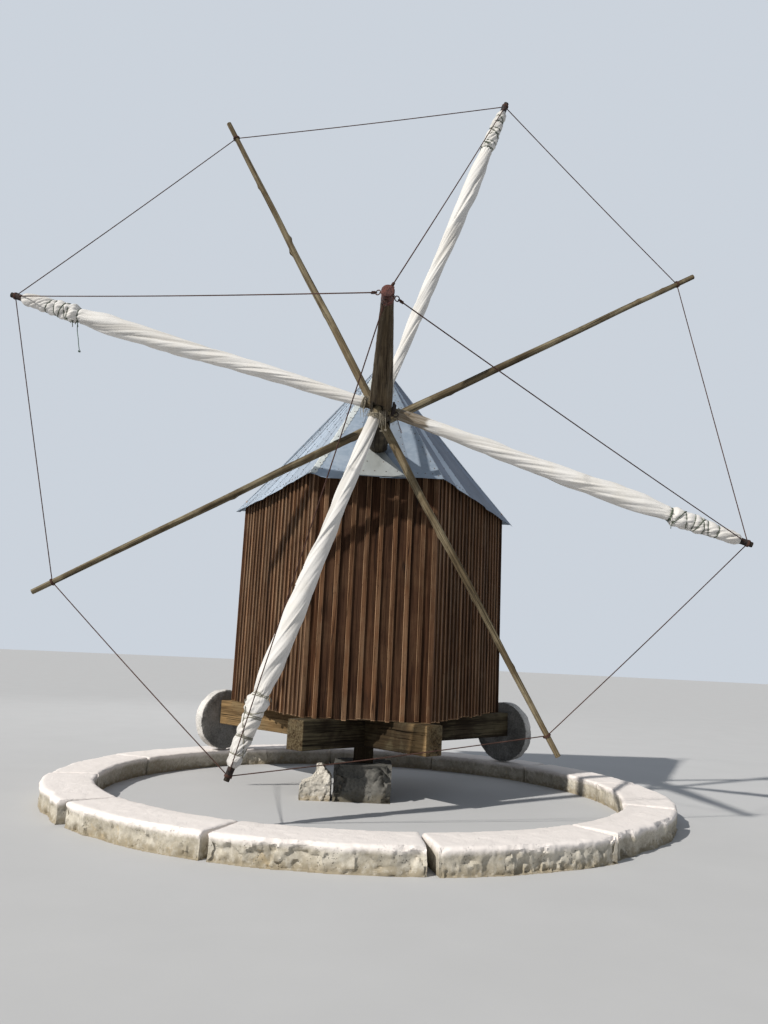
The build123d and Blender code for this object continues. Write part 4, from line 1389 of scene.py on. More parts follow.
for side, side_name in enumerate(SIDES):
    matrix = roof_frame(side)
    left, right = (matrix.inverted() @ EAVES[s % 4] for s in (side, side + 1))
    edge_lift = 0.003 if side_name == "left" else 0.0055
    joints = sheet_joints(side_name)
    sheets = []
    for number, (near, far) in enumerate(zip(joints, joints[1:])):
        last = number == len(joints) - 2
        sheet = flat_sheet("sheet", 6, 26)
        lap = 0.0 if last else 0.022 / (right - left).length
        longer = chance.uniform(-0.008, 0.012)
        tilt = chance.uniform(-0.003, 0.004)
        seed = chance.uniform(0, 50)

        def bend_sheet(co):
            across, down = (co.x + 1) / 2, 0.012 + (1 - 0.012) * (1 - co.y) / 2
            flap = 0.030 * ease(across, 0.0, 0.5) if number == 0 and side_name == "front" else 0.0
            down *= 1 + (longer + flap + 0.004 * wander((across * 3, seed, 0), 1.0)) * ease(down, 0.5, 1.0)
            spot = roof_point(left, right, near + (far + lap - near) * across, down)
            lift = 0.0015 + edge_lift * across * ease(down, 0.02, 0.2) + tilt * sin(pi * across)
            dent = 0.0036 * wander(spot, 2.2, seed) + 0.0007 * wander(spot, 9.0, seed)
            curl = 0.010 * max(0.0, wander((spot.x, 0, 0), 3.5, seed + 5)) * ease(down, 0.93, 1.0)
            return Vector((spot.x, spot.y, spot.z + lift + dent * ease(down, 0.03, 0.15) + curl))

        grow(sheet, "sheet", lambda co: Vector((seed, 0, 0)) + roof_point(
            left, right, near + (far - near) * (co.x + 1) / 2, (1 - co.y) / 2))
        grow(sheet, "tone", sheet_tone(side_name, number, chance.uniform(0.0, 1.0)))
        carve(sheet, bend_sheet)
        work(sheet, "SOLIDIFY", thickness=SHEET, offset=0.0)
        if side_name == "front":
            hole = rod("hole", 40, 2.4, MAST_OPENING_R)
            cut(sheet, place(hole, matrix.inverted() @ MAST_FRAME @ moved(0, 0, -2.6)))
        # All but one of the right side's sheets take the dark blue sheet: painted shade
        sheet.data.materials.append(BLUE_SHEET_PAINTED_SHADE if side_name == "right" and number != 1 else ROOFING)
        sheets.append(sheet)
        if not last:
            for n in range(NAIL_ROWS):
                spot = roof_point(left, right, far, 0.10 + 0.87 * n / (NAIL_ROWS - 1), 0.0075)
                nails.append((matrix @ spot, matrix))
        for across in (0.25, 0.5, 0.75):
            spot = roof_point(left, right, near + (far - near) * across, 0.965, 0.006)
            nails.append((matrix @ spot, matrix))
    if side_name == "front":
        for across, down in FRONT_NAILS:
            nails.append((matrix @ roof_point(left, right, across, down, 0.0145), matrix))
        sheets.append(front_triangle(left, right))
    roof = outwards(put_together(f"{side_name}_roof_sheets", sheets))
    smooth(place(roof, matrix), 40)
    dress(roof, "mill_house", "roof_sheet", stands_for=[f"{side_name}_roof"])

# Folded strips over the four hips, with a snipped edge on both sides

for side, side_name in enumerate(SIDES):
    right_frame, left_frame = roof_frame(side), roof_frame((side - 1) % 4)
    outer = EAVES[side] - APEX
    along_right, along_left = direction_of(right_frame, 0), -direction_of(left_frame, 0)
    lift = (direction_of(right_frame, 2) + direction_of(left_frame, 2)).normalized()
    strip = flat_sheet("hip", 4, HIP_TEETH)
    seed = chance.uniform(0, 50)

    def fold_strip(co):
        down = 0.004 + 0.998 * (1 - co.y) / 2
        teeth = 1.0 if round((1 - co.y) / 2 * HIP_TEETH) % 2 else 0.80
        wide = 0.062 * abs(co.x) * (teeth if abs(co.x) > 0.9 else 1.0) * min(1.0, 0.25 + down * 6)
        wing = along_right if co.x > 0 else along_left
        spot = APEX + outer * down + lift * (sag(down) + 0.011 - 0.004 * abs(co.x))
        return spot + wing * wide + lift * 0.003 * wander((down * 9, co.x, seed), 1.0)

    grow(strip, "sheet", lambda co: (co.x * 0.06 + seed, co.y * 1.5, 0))
    grow(strip, "tone", chance.uniform(0.3, 0.8))
    carve(strip, fold_strip)
    outwards(work(strip, "SOLIDIFY", thickness=SHEET, offset=0.0))
    smooth(strip, 30)
    strip.name = f"hip_strip_{side_name}_{SIDES[side - 1]}"
    # The hip strip between the front and the left side takes the bright sheet: painted light of a sunlit seam
    dress(strip, "mill_house", "roof_sheet", BRIGHT_SHEET if side_name == "front" else ROOFING)
    for n in range(HIP_NAILS):
        down = 0.08 + 0.9 * n / (HIP_NAILS - 1)
        for wing, wing_frame in ((along_right, right_frame), (along_left, left_frame)):
            nails.append((APEX + outer * down + lift * (sag(down) + 0.0105) + wing * 0.034, wing_frame))

roof_tip = start("roof_tip", bpy.ops.mesh.primitive_cone_add, vertices=8, radius1=0.105, radius2=0.008,
                 depth=0.135)
divide_along(roof_tip, 2, 1)
carve(roof_tip, lambda co: co + APEX + Vector((0, 0, -0.052)))
break_edges(roof_tip, 0.004, 2, 30)
grow(roof_tip, "sheet", lambda co: co)
grow(roof_tip, "tone", 0.6)
dress(smooth(roof_tip, 30), "mill_house", "roof_sheet", ROOFING)

parts = []
for spot, matrix in nails:
    nail_place = matrix.to_3x3().to_4x4()
    nail_place.translation = spot
    parts.append(place(another(nail_unit, "nail"), nail_place))
scrap(nail_unit)
finish("roof_nails", parts, 60, "mill_house", "rusty_iron", NAIL)

# Mast

# Drying cracks: angle round the mast, middle, length and width
MAST_CRACKS = ((-90, 0.85, 0.95, 0.007), (-62, 1.45, 0.60, 0.005), (-118, 0.30, 0.55, 0.008),
               (20, 0.9, 0.8, 0.006), (160, 1.2, 0.9, 0.006), (-100, 1.75, 0.45, 0.004),
               (90, 0.7, 0.8, 0.006), (-45, 0.15, 0.4, 0.007))


def mast_width(reach):
    return MAST_WIDTH + (MAST_TIP_WIDTH - MAST_WIDTH) * max(0.0, reach - HUB_FRONT) / (MAST_FRONT - HUB_FRONT)


def taper(co):
    corner = 1 / cos(radians(22.5)) / 2
    wide = mast_width(co.z)
    wear = 1 - 0.018 * abs(wander((co.x * 0.7, co.y * 0.7, co.z), 2.2, 8))
    return Vector((co.x * wide * corner * wear, co.y * wide * corner * wear, co.z))


def weather(co):
    return co - Vector((co.x, co.y, 0)).normalized() * 0.0035 * abs(rough((co.x, co.y, co.z * 0.4), 14.0, 9))


def along_mast(y):
    """Distance from the hub, forwards, of the mast's point at y."""
    return -(y - HUB.y) / cos(MAST_SLOPE)


mast = place(rod("octagonal_mast", 8, MAST_FRONT + HUB_BACK), turned(22.5, "Z") @ moved(0, 0, -HUB_BACK))
divide_along(mast, 2, 58)
carve(mast, taper)
break_edges(mast, 0.006, 2, 30)
carve(mast, weather)
cracks = [(spoke(radians(angle), mast_width(middle) / 2, middle), crack, wide, 0.06, angle - 90)
          for angle, middle, crack, wide in MAST_CRACKS]
cut(mast, crack_cutter(cracks))
shank = rod("shank", 32, 1.0)
divide_along(shank, 2, 2)
stops = [(0.0, along_mast(TAIL_Y + 0.140), TAIL_R), (1 / 3, along_mast(TAIL_Y - BEARING_LENGTH), TAIL_R),
         (2 / 3, along_mast(NECK_Y + BEARING_LENGTH), NECK_R), (1.0, -HUB_BACK + 0.02, NECK_R)]


def turn_shank(co):
    _, reach, radius = min(stops, key=lambda stop: abs(stop[0] - co.z))
    return Vector((co.x * radius, co.y * radius, reach))


carve(shank, turn_shank)
pin = place(rod("pin", 24, CAP_LENGTH + 0.01, 0.037), moved(0, 0, MAST_FRONT - 0.01))
mast = put_together("octagonal_mast", [mast, shank, pin])
add_grain(mast)
# Darker behind and round the hub: painted shade
grow(mast, "tone", lambda co: 0.08 + 0.44 * ease(co.z, 0.05, 0.42))
smooth(outwards(place(mast, MAST_FRAME)), 30)

# Poles

THIN = 0.04
chance = random.Random(11)


def sway(arm, reach):
    """Sideways bend of a bare arm, in its own axes."""
    if arm in SAIL_ARMS:
        return Vector((0, 0, 0))
    calm = ease(reach, 0.3, 1.2) * ease(ARM_LENGTHS[arm] - 0.2 - reach, 0.0, 0.8)
    number = ord(arm)
    aside = Vector((wander((reach * 0.9, number, 0), 1.0), wander((reach * 0.8, number, 9), 1.0), 0))
    return aside * 0.016 * calm


for pole_name, (first, last) in POLES.items():
    bare = first not in SAIL_ARMS
    total = ARM_LENGTHS[first] + ARM_LENGTHS[last]
    pole = rod(pole_name.replace("pole", "spar"), 18, total)
    divide_along(pole, 2, 15, 23)
    break_edges(pole, 0.006, 1, 60)
    knots = [(chance.uniform(0.25, total - 0.25), chance.uniform(0, tau), chance.uniform(0.004, 0.009))
             for _ in range(22 if bare else 10)]

    def shape_pole(co):
        along = co.z - ARM_LENGTHS[first]
        arm, flip = (first, -1) if along < 0 else (last, 1)
        reach = abs(along)
        angle = atan2(co.y, co.x)
        radius = pole_radius(arm, reach) * Vector((co.x, co.y)).length
        if bare and reach > 0.16:
            radius *= 1 + 0.05 * wander((cos(angle), sin(angle), co.z * 2.2), 1.0, ord(first)) - 0.02
            for spot, side, size in knots:
                if abs(co.z - spot) < 0.09:
                    gap = abs((angle - side + pi) % tau - pi)
                    radius += size * exp(-((co.z - spot) / 0.028) ** 2) * exp(-((gap / 0.55) ** 2))
        local = Vector((cos(angle) * radius, flip * sin(angle) * radius, reach)) + sway(arm, reach)
        return arm_frame(arm) @ local

    # The grain is laid on the thin straight pole, before the pole gets its shape
    carve(pole, lambda co: Vector((co.x * THIN, co.y * THIN, co.z)))
    add_grain(pole, 0.38 if first == "f" else 0.52, (ord(first) * 1.7, 0, 0))
    carve(pole, lambda co: shape_pole(Vector((co.x / THIN, co.y / THIN, co.z))))
    smooth(outwards(pole), 40)
    dress(pole, "rotor", "weathered_pole", POLE_WOOD, TARRED_TIPS_AND_SHADED_MORTISES, stands_for=[pole_name])
    if not bare:
        ends = [rope_point(arm) for arm in (first, last)]
        for face in pole.data.polygons:
            face.material_index = int(min((face.center - end).length for end in ends) < 0.075)

# The mast is mortised for the poles, and each mortise opens in a worn mouth

for arm in "".join(POLES.values()):
    mortise = rod("mortise", 24, 0.30, POLE_ROOT_R + 0.002)
    cut(mast, place(mortise, arm_frame(arm) @ moved(0, 0, -0.012)))
    wide, ahead = (0.200, 0.050) if arm == "c" else (0.156, 0.028)
    mouth = break_edges(block("mouth", (wide, 0.100, 0.10), (ahead, 0, 0.118)), 0.016, 2)
    carve(mouth, lambda co: Vector((co.x + 0.006 * wander(co, 30.0, ord(arm)), co.y, co.z)))
    cut(mast, place(mouth, arm_frame(arm)))
dress(mast, "rotor", "weathered_mast", MAST_WOOD, TARRED_TIPS_AND_SHADED_MORTISES, stands_for=["mast"])
# The faces inside the mortises round the hub take the near-black tarred timber: painted shade
into_mast = MAST_FRAME.inverted()
for face in mast.data.polygons:
    spot = into_mast @ face.center
    reach = max(spot.x * cos(radians(45 * n)) + spot.y * sin(radians(45 * n)) for n in range(8))
    face.material_index = int(abs(spot.z) < 0.46 and reach < MAST_WIDTH / 2 - 0.012)

# Sails rolled round four arms

SAIL_SIDES = 96
SAIL_SLOPE = {"a": 0.42, "b": -0.50, "c": 0.46, "d": -0.44}
SAIL_FULLNESS = {"a": 0.82, "b": 1.0, "c": 1.0, "d": 1.0}
SAIL_FOLDS = 22
NEAR_R = 0.065
CORD_R = 0.0050
# The cord round each sail: distance beyond the tie and angle in turns, from point to point
CORDS = {
    "a": [(0.0, 0.1), (0.010, 1.1), (0.06, 1.6), (0.09, 2.5), (0.22, 3.3), (0.25, 4.2), (0.33, 5.0),
          (0.41, 5.9), (0.30, 6.5), (0.14, 7.3), (0.03, 8.0)],
    "b": [(0.0, 0.2), (0.010, 1.2), (0.10, 1.8), (0.115, 2.8), (0.20, 3.4), (0.25, 4.2), (0.33, 4.8),
          (0.24, 5.5), (0.13, 6.2), (0.04, 6.8)],
    "c": [(0.0, 0.0), (0.012, 1.0), (0.024, 2.0), (0.05, 2.5), (0.18, 3.0), (0.19, 4.0), (0.205, 5.0),
          (0.36, 5.6), (0.37, 6.6), (0.385, 7.6), (0.52, 7.9), (0.53, 8.8), (0.28, 9.1), (0.06, 9.3)],
    "d": [(0.0, 0.3), (0.009, 1.3), (0.018, 2.3), (0.13, 2.9), (0.22, 3.5), (0.23, 4.5), (0.33, 5.1),
          (0.35, 6.0), (0.45, 6.6), (0.46, 7.4), (0.30, 7.9), (0.17, 8.7), (0.04, 9.2)],
}


def cord_samples(arm):
    """Reach and angle of closely spaced points along the cord round a sail."""
    samples = []
    for (near, start_turn), (far, end_turn) in zip(CORDS[arm], CORDS[arm][1:]):
        steps = max(4, int(abs(end_turn - start_turn) * 30))
        for step in range(steps):
            share = step / steps
            share = share * 0.6 + ease(share, 0, 1) * 0.4
            angle = tau * (start_turn + (end_turn - start_turn) * share)
            samples.append((tie_reach(arm) + near + (far - near) * share, angle))
    return samples


def sail_folds(arm):
    """Long diagonal folds of a rolled sail: reach, angle, length, width, slope and height."""
    chance = random.Random(100 + ord(arm))
    folds = []
    tie = tie_reach(arm)
    for number in range(SAIL_FOLDS):
        reach = SAIL_START + (tie - SAIL_START) * ((number + chance.uniform(0.1, 0.9)) / SAIL_FOLDS) ** 0.8
        folds.append((reach, chance.uniform(0, tau), chance.uniform(0.30, 0.85), chance.uniform(0.20, 0.55),
                      SAIL_SLOPE[arm] * tau * chance.uniform(0.6, 1.4), chance.uniform(0.004, 0.0105)))
    return folds


def fold_relief(folds, angle, reach):
    relief = 0.0
    for middle, side, length, wide, slope, height in folds:
        along = (reach - middle) / length
        if abs(along) < 1:
            aside = (angle - side - slope * (reach - middle) + pi) % tau - pi
            edge = wide if aside > 0 else wide * 0.15
            relief += height * exp(-((aside / edge) ** 2)) * (1 - along * along) ** 1.5
    return relief


def crease(angle, reach, twist, wide, long, seed):
    """Rounded folds with sharp valleys that wind round a roll, about -0.4 to 1."""
    drift = angle - twist * reach
    return min(1.0, 2.3 * abs(wander((cos(drift) * wide, sin(drift) * wide, reach * long), 1.0, seed))) - 0.4


def sail_shape(arm):
    """Gives a function from angle and reach to the sail's radius and how deep that point lies in a fold."""
    tie, end = tie_reach(arm), cloth_end(arm)
    folds, number = sail_folds(arm), ord(arm)
    slope = SAIL_SLOPE[arm]
    twist = slope * tau
    samples = cord_samples(arm)
    near_cord = kdtree.KDTree(len(samples))
    for index, (reach, angle) in enumerate(samples):
        near_cord.insert(spoke(angle, NEAR_R, reach), index)
    near_cord.balance()

    def shape(angle, reach):
        if reach < tie:
            full = between(ROLL_TO_TIE, (reach - SAIL_START) / (tie - SAIL_START))
        else:
            full = between(ROLL_BEYOND_TIE, (reach - tie) / (end - tie))
        core = pole_radius(arm, reach) + 0.004
        radius = core + (SAIL_R * full * SAIL_FULLNESS[arm] - core) * 0.90
        crumple = ease(reach, tie - 0.10, tie + 0.06)
        calm = 1 - 0.55 * crumple
        relief = fold_relief(folds, angle, reach)
        lap = (angle - slope * 0.6 * tau * reach - number) % tau / tau
        relief += 0.011 * (lap - 0.5) * ease(1 - lap, 0.0, 0.035) * (1 - crumple * 0.6)
        relief += 0.0080 * calm * crease(angle, reach, twist, 1.0, 0.6, number)
        relief += 0.0026 * calm * crease(angle, reach, twist * 1.25, 3.0, 1.5, number + 3)
        relief += crumple * 0.0135 * crease(angle, reach, twist * 3.2, 1.5, 4.2, number + 5)
        relief += crumple * 0.0040 * crease(angle, reach, twist * 2.2, 2.6, 6.5, number + 7)
        # Pleats gather at the tie, and the cord bites into the cloth
        gather = exp(-abs(reach - tie) / 0.085)
        drift = 3 * wander((cos(angle), sin(angle), reach * 3), 1.0, number)
        pleat = sin(11 * angle + drift + reach * 9 * slope)
        relief += 0.0042 * gather * (abs(pleat) - 0.5)
        bite = near_cord.find(spoke(angle, NEAR_R, reach))[2]
        relief -= (0.0065 if reach > tie - 0.02 else 0.0) * exp(-((bite / 0.010) ** 2))
        relief += crumple * 0.005 * ease(bite, 0.008, 0.045)
        relief += 0.004 * exp(-(reach - SAIL_START) / 0.05) * sin(7 * angle + number)
        closing = min(ease(reach, SAIL_START - 0.001, SAIL_START + 0.03), ease(end - reach, -0.001, 0.03))
        return max(core, (core + (radius + relief - core) * (0.35 + 0.65 * closing))), relief

    return shape


def soil_at(arm, angle, reach):
    """Dirt on a sail: the grey root of one, and stains."""
    grime = 0.05
    if arm == "d":
        ragged = 0.20 * wander((cos(angle) * 2, sin(angle) * 2, reach * 3), 1.0, 4)
        grime += 0.85 * (1 - ease(reach + ragged, 0.47, 0.55))
    grime += 0.30 * exp(-(reach - SAIL_START) / 0.10)
    grime += 0.14 * ease(reach, tie_reach(arm), cloth_end(arm))
    return min(1.0, grime)


def lay_cloth_map(sail, slope):
    """Unrolls a sail into its UV map, with no face torn at the seam."""
    points = sail.data.vertices
    cloth = sail.data.uv_layers.get("cloth") or sail.data.uv_layers.new(name="cloth")
    sail.data.uv_layers.active = cloth
    for face in sail.data.polygons:
        angles = [atan2(points[v].co.y, points[v].co.x) for v in face.vertices]
        for corner, vertex, angle in zip(face.loop_indices, face.vertices, angles):
            if max(angles) - angle > pi:
                angle += tau
            reach = points[vertex].co.z
            cloth.data[corner].uv = (angle * 0.07 + 0.2 * slope * reach, reach)


sail_shapes = {arm: sail_shape(arm) for arm in SAIL_ARMS}
for arm in SAIL_ARMS:
    first, last = SAIL_START, cloth_end(arm)
    outside = rod("outside", SAIL_SIDES, 1.0)
    divide_along(outside, 2, 19, 19)
    inside = rod("inside", SAIL_SIDES, 1.0)
    for tube in (outside, inside):
        with edit(tube):
            mark_ends()
            bpy.ops.mesh.delete(type="FACE")
    depth = []

    def wrap(co):
        angle, reach = atan2(co.y, co.x), first + (last - first) * co.z
        radius, relief = sail_shapes[arm](angle, reach)
        # The deeper the point lies in a fold, the darker the cloth: painted shade
        depth.append(min(1.0, max(0.0, 0.5 - relief / 0.016)))
        return spoke(angle, radius, reach)

    def line_inside(co):
        reach = first + (last - first) * co.z
        radius = pole_radius(arm, reach) + 0.0025
        return Vector((co.x * radius, co.y * radius, reach))

    carve(outside, wrap)
    carve(inside, line_inside)
    grow(outside, "fold", depth)
    grow(inside, "fold", 1.0)
    sail = put_together(f"rolled_sail_{arm}", [outside, inside])
    with edit(sail, "EDGE"):
        mark("edges", lambda edge: edge.is_boundary)
        bpy.ops.mesh.bridge_edge_loops()
    grow(sail, "soil", lambda co: soil_at(arm, atan2(co.y, co.x), co.z))
    lay_cloth_map(sail, SAIL_SLOPE[arm])
    place(sail, arm_frame(arm))
    smooth(outwards(sail), 75)
    dress(sail, "rotor", "sailcloth", CANVAS, stands_for=[f"furled_sail_{arm}"])

# Cords that hold the rolls, with a knot and two short ends each

parts = []
for arm in SAIL_ARMS:
    matrix, samples = arm_frame(arm), cord_samples(arm)
    earlier = len(parts)

    def on_sail(reach, angle, lift=0.0):
        return matrix @ spoke(angle, sail_shapes[arm](angle, reach)[0] + CORD_R * 0.55 + lift, reach)

    line = [on_sail(reach, angle, 0.0035 * (number > len(samples) * 0.72))
            for number, (reach, angle) in enumerate(samples)]
    eased = [line[0]] + [(a + b * 2 + c) / 4 for a, b, c in zip(line, line[1:], line[2:])] + [line[-1]]
    parts.append(laid_rope("cord", eased, CORD_R, 8))
    for reach, angle in (samples[len(samples) // 12], samples[-1]):
        out = out_of(matrix, angle)
        parts.append(knot(on_sail(reach, angle, 0.006), out, 0.0075))
        spot = on_sail(reach, angle, 0.008)
        for side in (-1, 1):
            swing = matrix.to_3x3() @ Vector((-sin(angle), cos(angle), 0)) * side
            tail = [spot, spot + out * 0.010 + swing * 0.014, spot + out * 0.012 + swing * 0.028 - UP * 0.010,
                    spot + out * 0.010 + swing * 0.034 - UP * 0.030]
            parts.append(laid_rope("end", soften(tail), CORD_R * 0.8, 8))
    for part in parts[earlier:]:
        part.data.materials.append(PALE_CORD if arm == "c" else LASHING)
finish("sail_cords", parts, 60, "rotor", "lashing_cord")

# Worn rope round the foot of each rolled sail

WOUND = 24
# Loose strands: place to the side, drop and radius
HANGING_STRANDS = ((-0.012, 0.115, 0.0030), (0.0, 0.150, 0.0034), (0.012, 0.175, 0.0028),
                   (0.026, 0.130, 0.0024), (0.040, 0.165, 0.0034))
parts = []
chance = random.Random(31)
for arm in SAIL_ARMS:
    matrix, number = arm_frame(arm), ord(arm)
    foot_r = pole_radius(arm, 0.15)
    thick_foot = arm in "bc"
    line = []
    for step in range((5 if thick_foot else 3) * WOUND + 1):
        radius = foot_r + 0.0070 + 0.0025 * wander((step * 0.12, number, 0), 1.0)
        reach = 0.182 - 0.0085 * step / WOUND + 0.005 * wander((step * 0.1, number, 4), 1.0)
        line.append(matrix @ spoke(tau * step / WOUND + number, radius, reach))
    parts.append(laid_rope("lashing", line, 0.0046))
    for loop in range(2 if thick_foot else 0):
        line, lean = [], chance.uniform(0.25, 0.55) * (-1) ** loop
        for step in range(27):
            angle = tau * step / WOUND + loop * 2.1
            radius = foot_r + 0.014 + 0.004 * wander((step * 0.15, loop, number), 1.0)
            line.append(matrix @ spoke(angle, radius, 0.158 + lean * radius * cos(angle + loop)))
        parts.append(laid_rope("loop", line, 0.0042))
    for strand in range(26 if thick_foot else 6):
        angle, reach = chance.uniform(0, tau), chance.uniform(0.125, 0.175)
        out, spot = out_of(matrix, angle), matrix @ spoke(angle, 0.052, reach)
        drop = chance.uniform(0.02, 0.085)
        tail = [spot, spot + out * 0.016 + UP * 0.004, spot + out * 0.024 - UP * drop * 0.5,
                spot + out * 0.020 - UP * drop]
        parts.append(laid_rope("frayed", soften(tail), chance.uniform(0.0012, 0.0022), 5))
# Loose ends that hang in front of the mast from the foot of the lowest sail, two of them knotted
for side, drop, thick in HANGING_STRANDS:
    spot = HUB + FORWARD * 0.315 + RIGHT * side - MAST_UP * 0.118
    tail = [spot - FORWARD * 0.03 + UP * 0.012, spot, spot + Vector((0.006, 0, -drop * 0.45)),
            spot + Vector((side * 0.4 - 0.004, 0.012, -drop))]
    parts.append(laid_rope("hanging", soften(tail), thick, 6))
    if drop > 0.16:
        parts.append(knot(tail[-1] - UP * 0.008, -UP, 0.0085, 0.0038))
finish("root_lashings", parts, 60, "rotor", "lashing_cord", FRAYED)

# Ropes from tip to tip, tied round each arm

TIED = 3 * WOUND
parts = []
for arm in ARM_LENGTHS:
    matrix, reach, number = arm_frame(arm), rope_reach(arm), ord(arm)
    around_r = pole_radius(arm, reach)
    line = []
    for step in range(TIED + 1):
        along = reach - 0.0092 + 0.0092 * 2 * step / TIED + 0.0008 * sin(step * 0.7)
        line.append(matrix @ spoke(tau * step / WOUND + number, around_r + 0.0050, along))
    parts.append(laid_rope("turns", line, 0.0043))
    angle = 1.3 * number
    parts.append(knot(matrix @ spoke(angle, around_r + 0.008, reach), out_of(matrix, angle), 0.0065, 0.0034))
finish("tied_turns", parts, 60, "rotor", "dark_rope", WIRE_ROPE, stands_for=["rope_loops"])


def hung(near, far, steps, drop):
    """A taut rope's line, with the little that it sags."""
    return [near.lerp(far, n / steps) - UP * drop * sin(pi * n / steps) for n in range(steps + 1)]


def beside_arm(arm):
    """Distance from an arm's axis at which a rope meets its knot."""
    return pole_radius(arm, rope_reach(arm)) + 0.004


parts = []
order = sorted(ARM_ANGLES, key=ARM_ANGLES.get)
for arm, following in zip(order, order[1:] + order[:1]):
    near, far = rope_point(arm), rope_point(following)
    heading = (far - near).normalized()
    near += heading * beside_arm(arm)
    far -= heading * beside_arm(following)
    parts.append(laid_rope("rim", hung(near, far, 24, 0.010), ROPE_R, 9, 0.036))
finish("tip_ropes", parts, 60, "rotor", "dark_rope", WIRE_ROPE, stands_for=["rim_ropes"])

# Stays from the iron cap to the sail arms, each held in an eye

EYE_R = 0.0185
TURN_STEPS = 20
WHIPPING_STEPS = 4 * TURN_STEPS
parts, eyes = [], []
for arm in SAIL_ARMS:
    far = rope_point(arm)
    root = HUB + FORWARD * (MAST_REACH - STAY_FROM_TIP)
    out = far - root
    out = (out - FORWARD * out.dot(FORWARD)).normalized()
    root += out * 0.047
    heading = (far - root).normalized()
    flat = (FORWARD - heading * FORWARD.dot(heading)).normalized()
    middle = root + heading * 0.026
    eye = hoop("eye", EYE_R, 0.0040, 36, 10)
    eyes.append(place(eye, axes(heading, flat.cross(heading), flat, middle)))
    eyes.append(place(rod("shank", 12, 0.024, 0.0045), towards(root - out * 0.012, root + heading * 0.010)))
    washer = break_edges(rod("washer", 20, 0.004, 0.011), 0.0012, 2)
    eyes.append(place(washer, towards(root - out * 0.003, root + out * 0.003)))
    near = middle + heading * EYE_R
    far -= heading * beside_arm(arm)
    parts.append(laid_rope("stay", hung(near, far, 30, 0.012), ROPE_R, 9, 0.036))
    side = heading.orthogonal().normalized()
    over = heading.cross(side)
    spin, loop = [], []
    for step in range(WHIPPING_STEPS + 1):
        angle = tau * step / TURN_STEPS
        around = (side * cos(angle) + over * sin(angle)) * 0.0082
        spin.append(near + heading * (0.006 + 0.030 * step / WHIPPING_STEPS) + around)
    for step in range(TURN_STEPS + 1):
        angle = tau * step / TURN_STEPS
        loop.append(near + heading * (0.0075 * cos(angle)) + flat * (0.0078 * sin(angle)))
    parts.append(laid_rope("whipping", spin, 0.0036, 7))
    parts.append(laid_rope("bight", loop, 0.0036, 7))
finish("cap_stays", parts, 60, "rotor", "dark_rope", WIRE_ROPE, stands_for=["fore_stays"])

# Iron on the mast and on the arms' tips


def dent_cap(co):
    worn = Vector((co.x, co.y)).length > 0.042
    return co - Vector((co.x, co.y, 0)) * 0.03 * abs(wander(co, 22.0, 3)) * worn


cap = rod("iron_cap", 40, CAP_LENGTH + 0.010, 0.045)
divide_along(cap, 2, 12)
with edit(cap):
    mark_faces(lambda middle, normal: normal.z > 0.9)
    bpy.ops.mesh.inset(thickness=0.010)
    bpy.ops.mesh.inset(thickness=0.016)
    bpy.ops.mesh.select_all(action="DESELECT")
    mark_faces(lambda middle, normal: normal.z < -0.9)
    bpy.ops.mesh.inset(thickness=0.0065)
    bpy.ops.mesh.extrude_region_move(TRANSFORM_OT_translate={"value": (0, 0, CAP_LENGTH)})
break_edges(cap, 0.0022, 2)
carve(cap, dent_cap)
band = rod("band", 40, 0.016, 0.0468)
with edit(band):
    bore(0.0022, 0.0458)
outwards(band)
rear_band = place(another(band, "rear_band"), moved(0, 0, 0.002))
place(band, moved(0, 0, 0.108))
bolt = place(break_edges(rod("bolt", 6, 0.010, 0.012), 0.0016), moved(0, 0, CAP_LENGTH + 0.008 - 0.0095))
cap = put_together("iron_cap", [cap, band, rear_band, bolt])
place(cap, MAST_FRAME @ moved(0, 0, MAST_FRONT + 0.0001))
smooth(outwards(cap), 40)
dress(cap, "rotor", "rusty_iron", CAP_RUST, stands_for=["mast_cap"])
finish("stay_eyes", eyes, 50, "rotor", "rusty_iron", RUSTY)

TIP_BAND, BAND_THICK, BAND_INNER = 0.070, 0.0045, 0.94
parts = []
for arm in SAIL_ARMS:
    matrix, reach = arm_frame(arm), ARM_LENGTHS[arm] - 0.112
    tip_band = rod("band", 32, TIP_BAND)
    divide_along(tip_band, 2, 7)
    with edit(tip_band):
        bore(0.12, BAND_INNER)

    def seat_band(co):
        outside = hypot(co.x, co.y) > BAND_INNER
        radius = pole_radius(arm, reach + co.z) + (BAND_THICK if outside else 0.0003)
        if outside:
            radius += 0.0012 * ease(abs(co.z - TIP_BAND / 2), 0.024, 0.030)
            radius += 0.0006 * wander((co.x * 2, co.y * 2, co.z * 40), 1.0)
        return spoke(atan2(co.y, co.x), radius, reach + co.z)

    carve(tip_band, seat_band)
    parts.append(place(outwards(tip_band), matrix))
    for angle in (0.4, 0.4 + pi):
        head = carve(ball("head", 12, 6, 0.0075), lambda co: Vector((co.x, co.y, co.z * 0.6)))
        across = reach + TIP_BAND / 2
        spot = matrix @ spoke(angle, pole_radius(arm, across) + BAND_THICK, across)
        parts.append(place(head, towards(spot, spot + out_of(matrix, angle))))
finish("tip_irons", parts, 40, "rotor", "rusty_iron", TIP_IRON, stands_for=["tip_bands"])

# Iron clamp on the right side of the hub, with a twisted wire through it

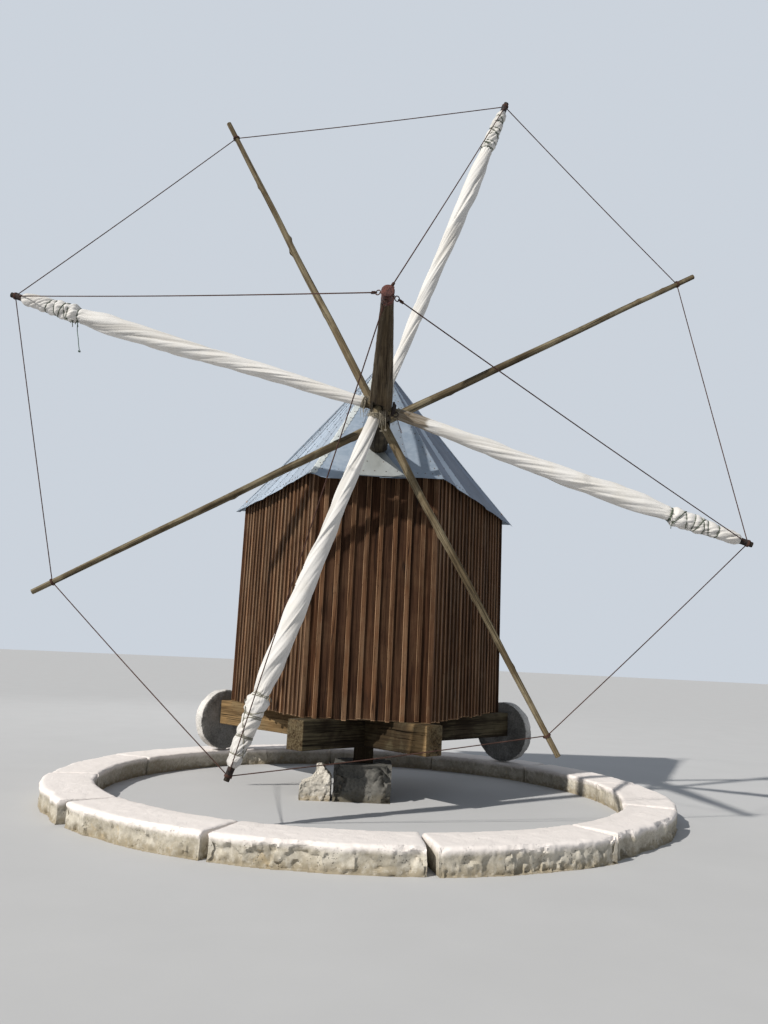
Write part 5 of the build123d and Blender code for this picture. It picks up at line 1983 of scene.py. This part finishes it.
clamp = block("hub_clamp", (0.020, 0.030, 0.140))
with edit(clamp):
    mark_faces(lambda middle, normal: normal.x > 0.9)
    bpy.ops.mesh.inset(thickness=0.009)
    bpy.ops.mesh.extrude_region_move(TRANSFORM_OT_translate={"value": (0.018, 0, 0)})
    bpy.ops.transform.resize(value=(1.0, 0.8, 0.7))
break_edges(clamp, 0.003, 2)
place(clamp, moved(0.112, 0.002, -0.035) @ turned(8, "Y"))
shackle = hoop("shackle", 0.024, 0.0055, 28, 10, rotation=(radians(90), 0, 0), location=(0.140, 0.0, -0.085))
clamp_frame = axes(RIGHT, -FORWARD, MAST_UP, HUB + FORWARD * 0.165)
clamp = place(put_together("hub_clamp", [clamp, shackle]), clamp_frame)
dress(smooth(clamp, 40), "rotor", "rusty_iron", TIP_IRON)
WIRE_STEPS = 60
wires = []
for side in (0, pi):
    line = []
    for step in range(WIRE_STEPS + 1):
        share = step / WIRE_STEPS
        middle = Vector((0.150 + 0.050 * share, 0.006 * sin(5 * share), -0.102 - 0.165 * share))
        line.append(clamp_frame @ (middle + spoke(side + share * 30) * (0.003 + 0.006 * share**3)))
    wires.append(laid_rope("wire", line, 0.0022, 6))
finish("twisted_wire", wires, 60, "rotor", "rusty_iron", RUSTY)

# Frame timbers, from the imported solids


def along_x(co):
    return axes(Vector((0, 1, 0)), UP, RIGHT, (0, 7 if co.y > 0.5 else 0, 0))


def along_side(co):
    line = direction_of(wall_frame(1 if co.x > 0 else 3)[0], 0)
    return axes(UP.cross(line), UP, line, (9 if co.x > 0 else 0, 0, 0))


def upright(co):
    return moved(3 * (co.x > 0), 5 * (co.y > 0.5), 0)


def timber_from(name, node, frame_for, paint, slot, body="mill_house", edge=0.004):
    """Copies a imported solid, closes its seams and breaks its edges."""
    piece = another(bpy.data.objects[node], name)
    piece.data.materials.clear()
    with edit(piece):
        bpy.ops.mesh.select_all(action="SELECT")
        bpy.ops.mesh.remove_doubles(threshold=0.00005)
        bpy.ops.mesh.dissolve_limited(angle_limit=radians(0.5))
    break_edges(piece, edge, 2)
    grow(piece, "grain", lambda co: frame_for(co).inverted() @ co)
    grow(piece, "tone", lambda co: 0.5 + 0.2 * wander(co, 0.6))
    return dress(smooth(piece, 25), body, slot, paint, stands_for=[node])


for name, node, frame_for in (
    ("end_sill_timbers", "end_sills", along_x),
    ("side_sill_timbers", "side_sills", along_side),
    ("end_plate_timbers", "end_plates", along_x),
    ("side_plate_timbers", "side_plates", along_side),
    ("corner_post_timbers", "corner_posts", upright),
):
    timber_from(name, node, frame_for, SAWN, "frame_timber")
timber_from("mast_beams", "bearing_beams", along_x, RAW_BEAM, "raw_timber")
timber_from("mast_bearings", "bearing_blocks", along_x, RAW_BEAM, "raw_timber")
pivot_timber = timber_from("pivot_timber", "pivot_block", upright, RAW_BEAM, "raw_timber", "base", 0.006)
grow(pivot_timber, "tone", 0.1)
for node in ("wheel_axles", "pivot_pin"):
    for holder in bpy.data.objects[node].material_slots:
        holder.material = RUSTY
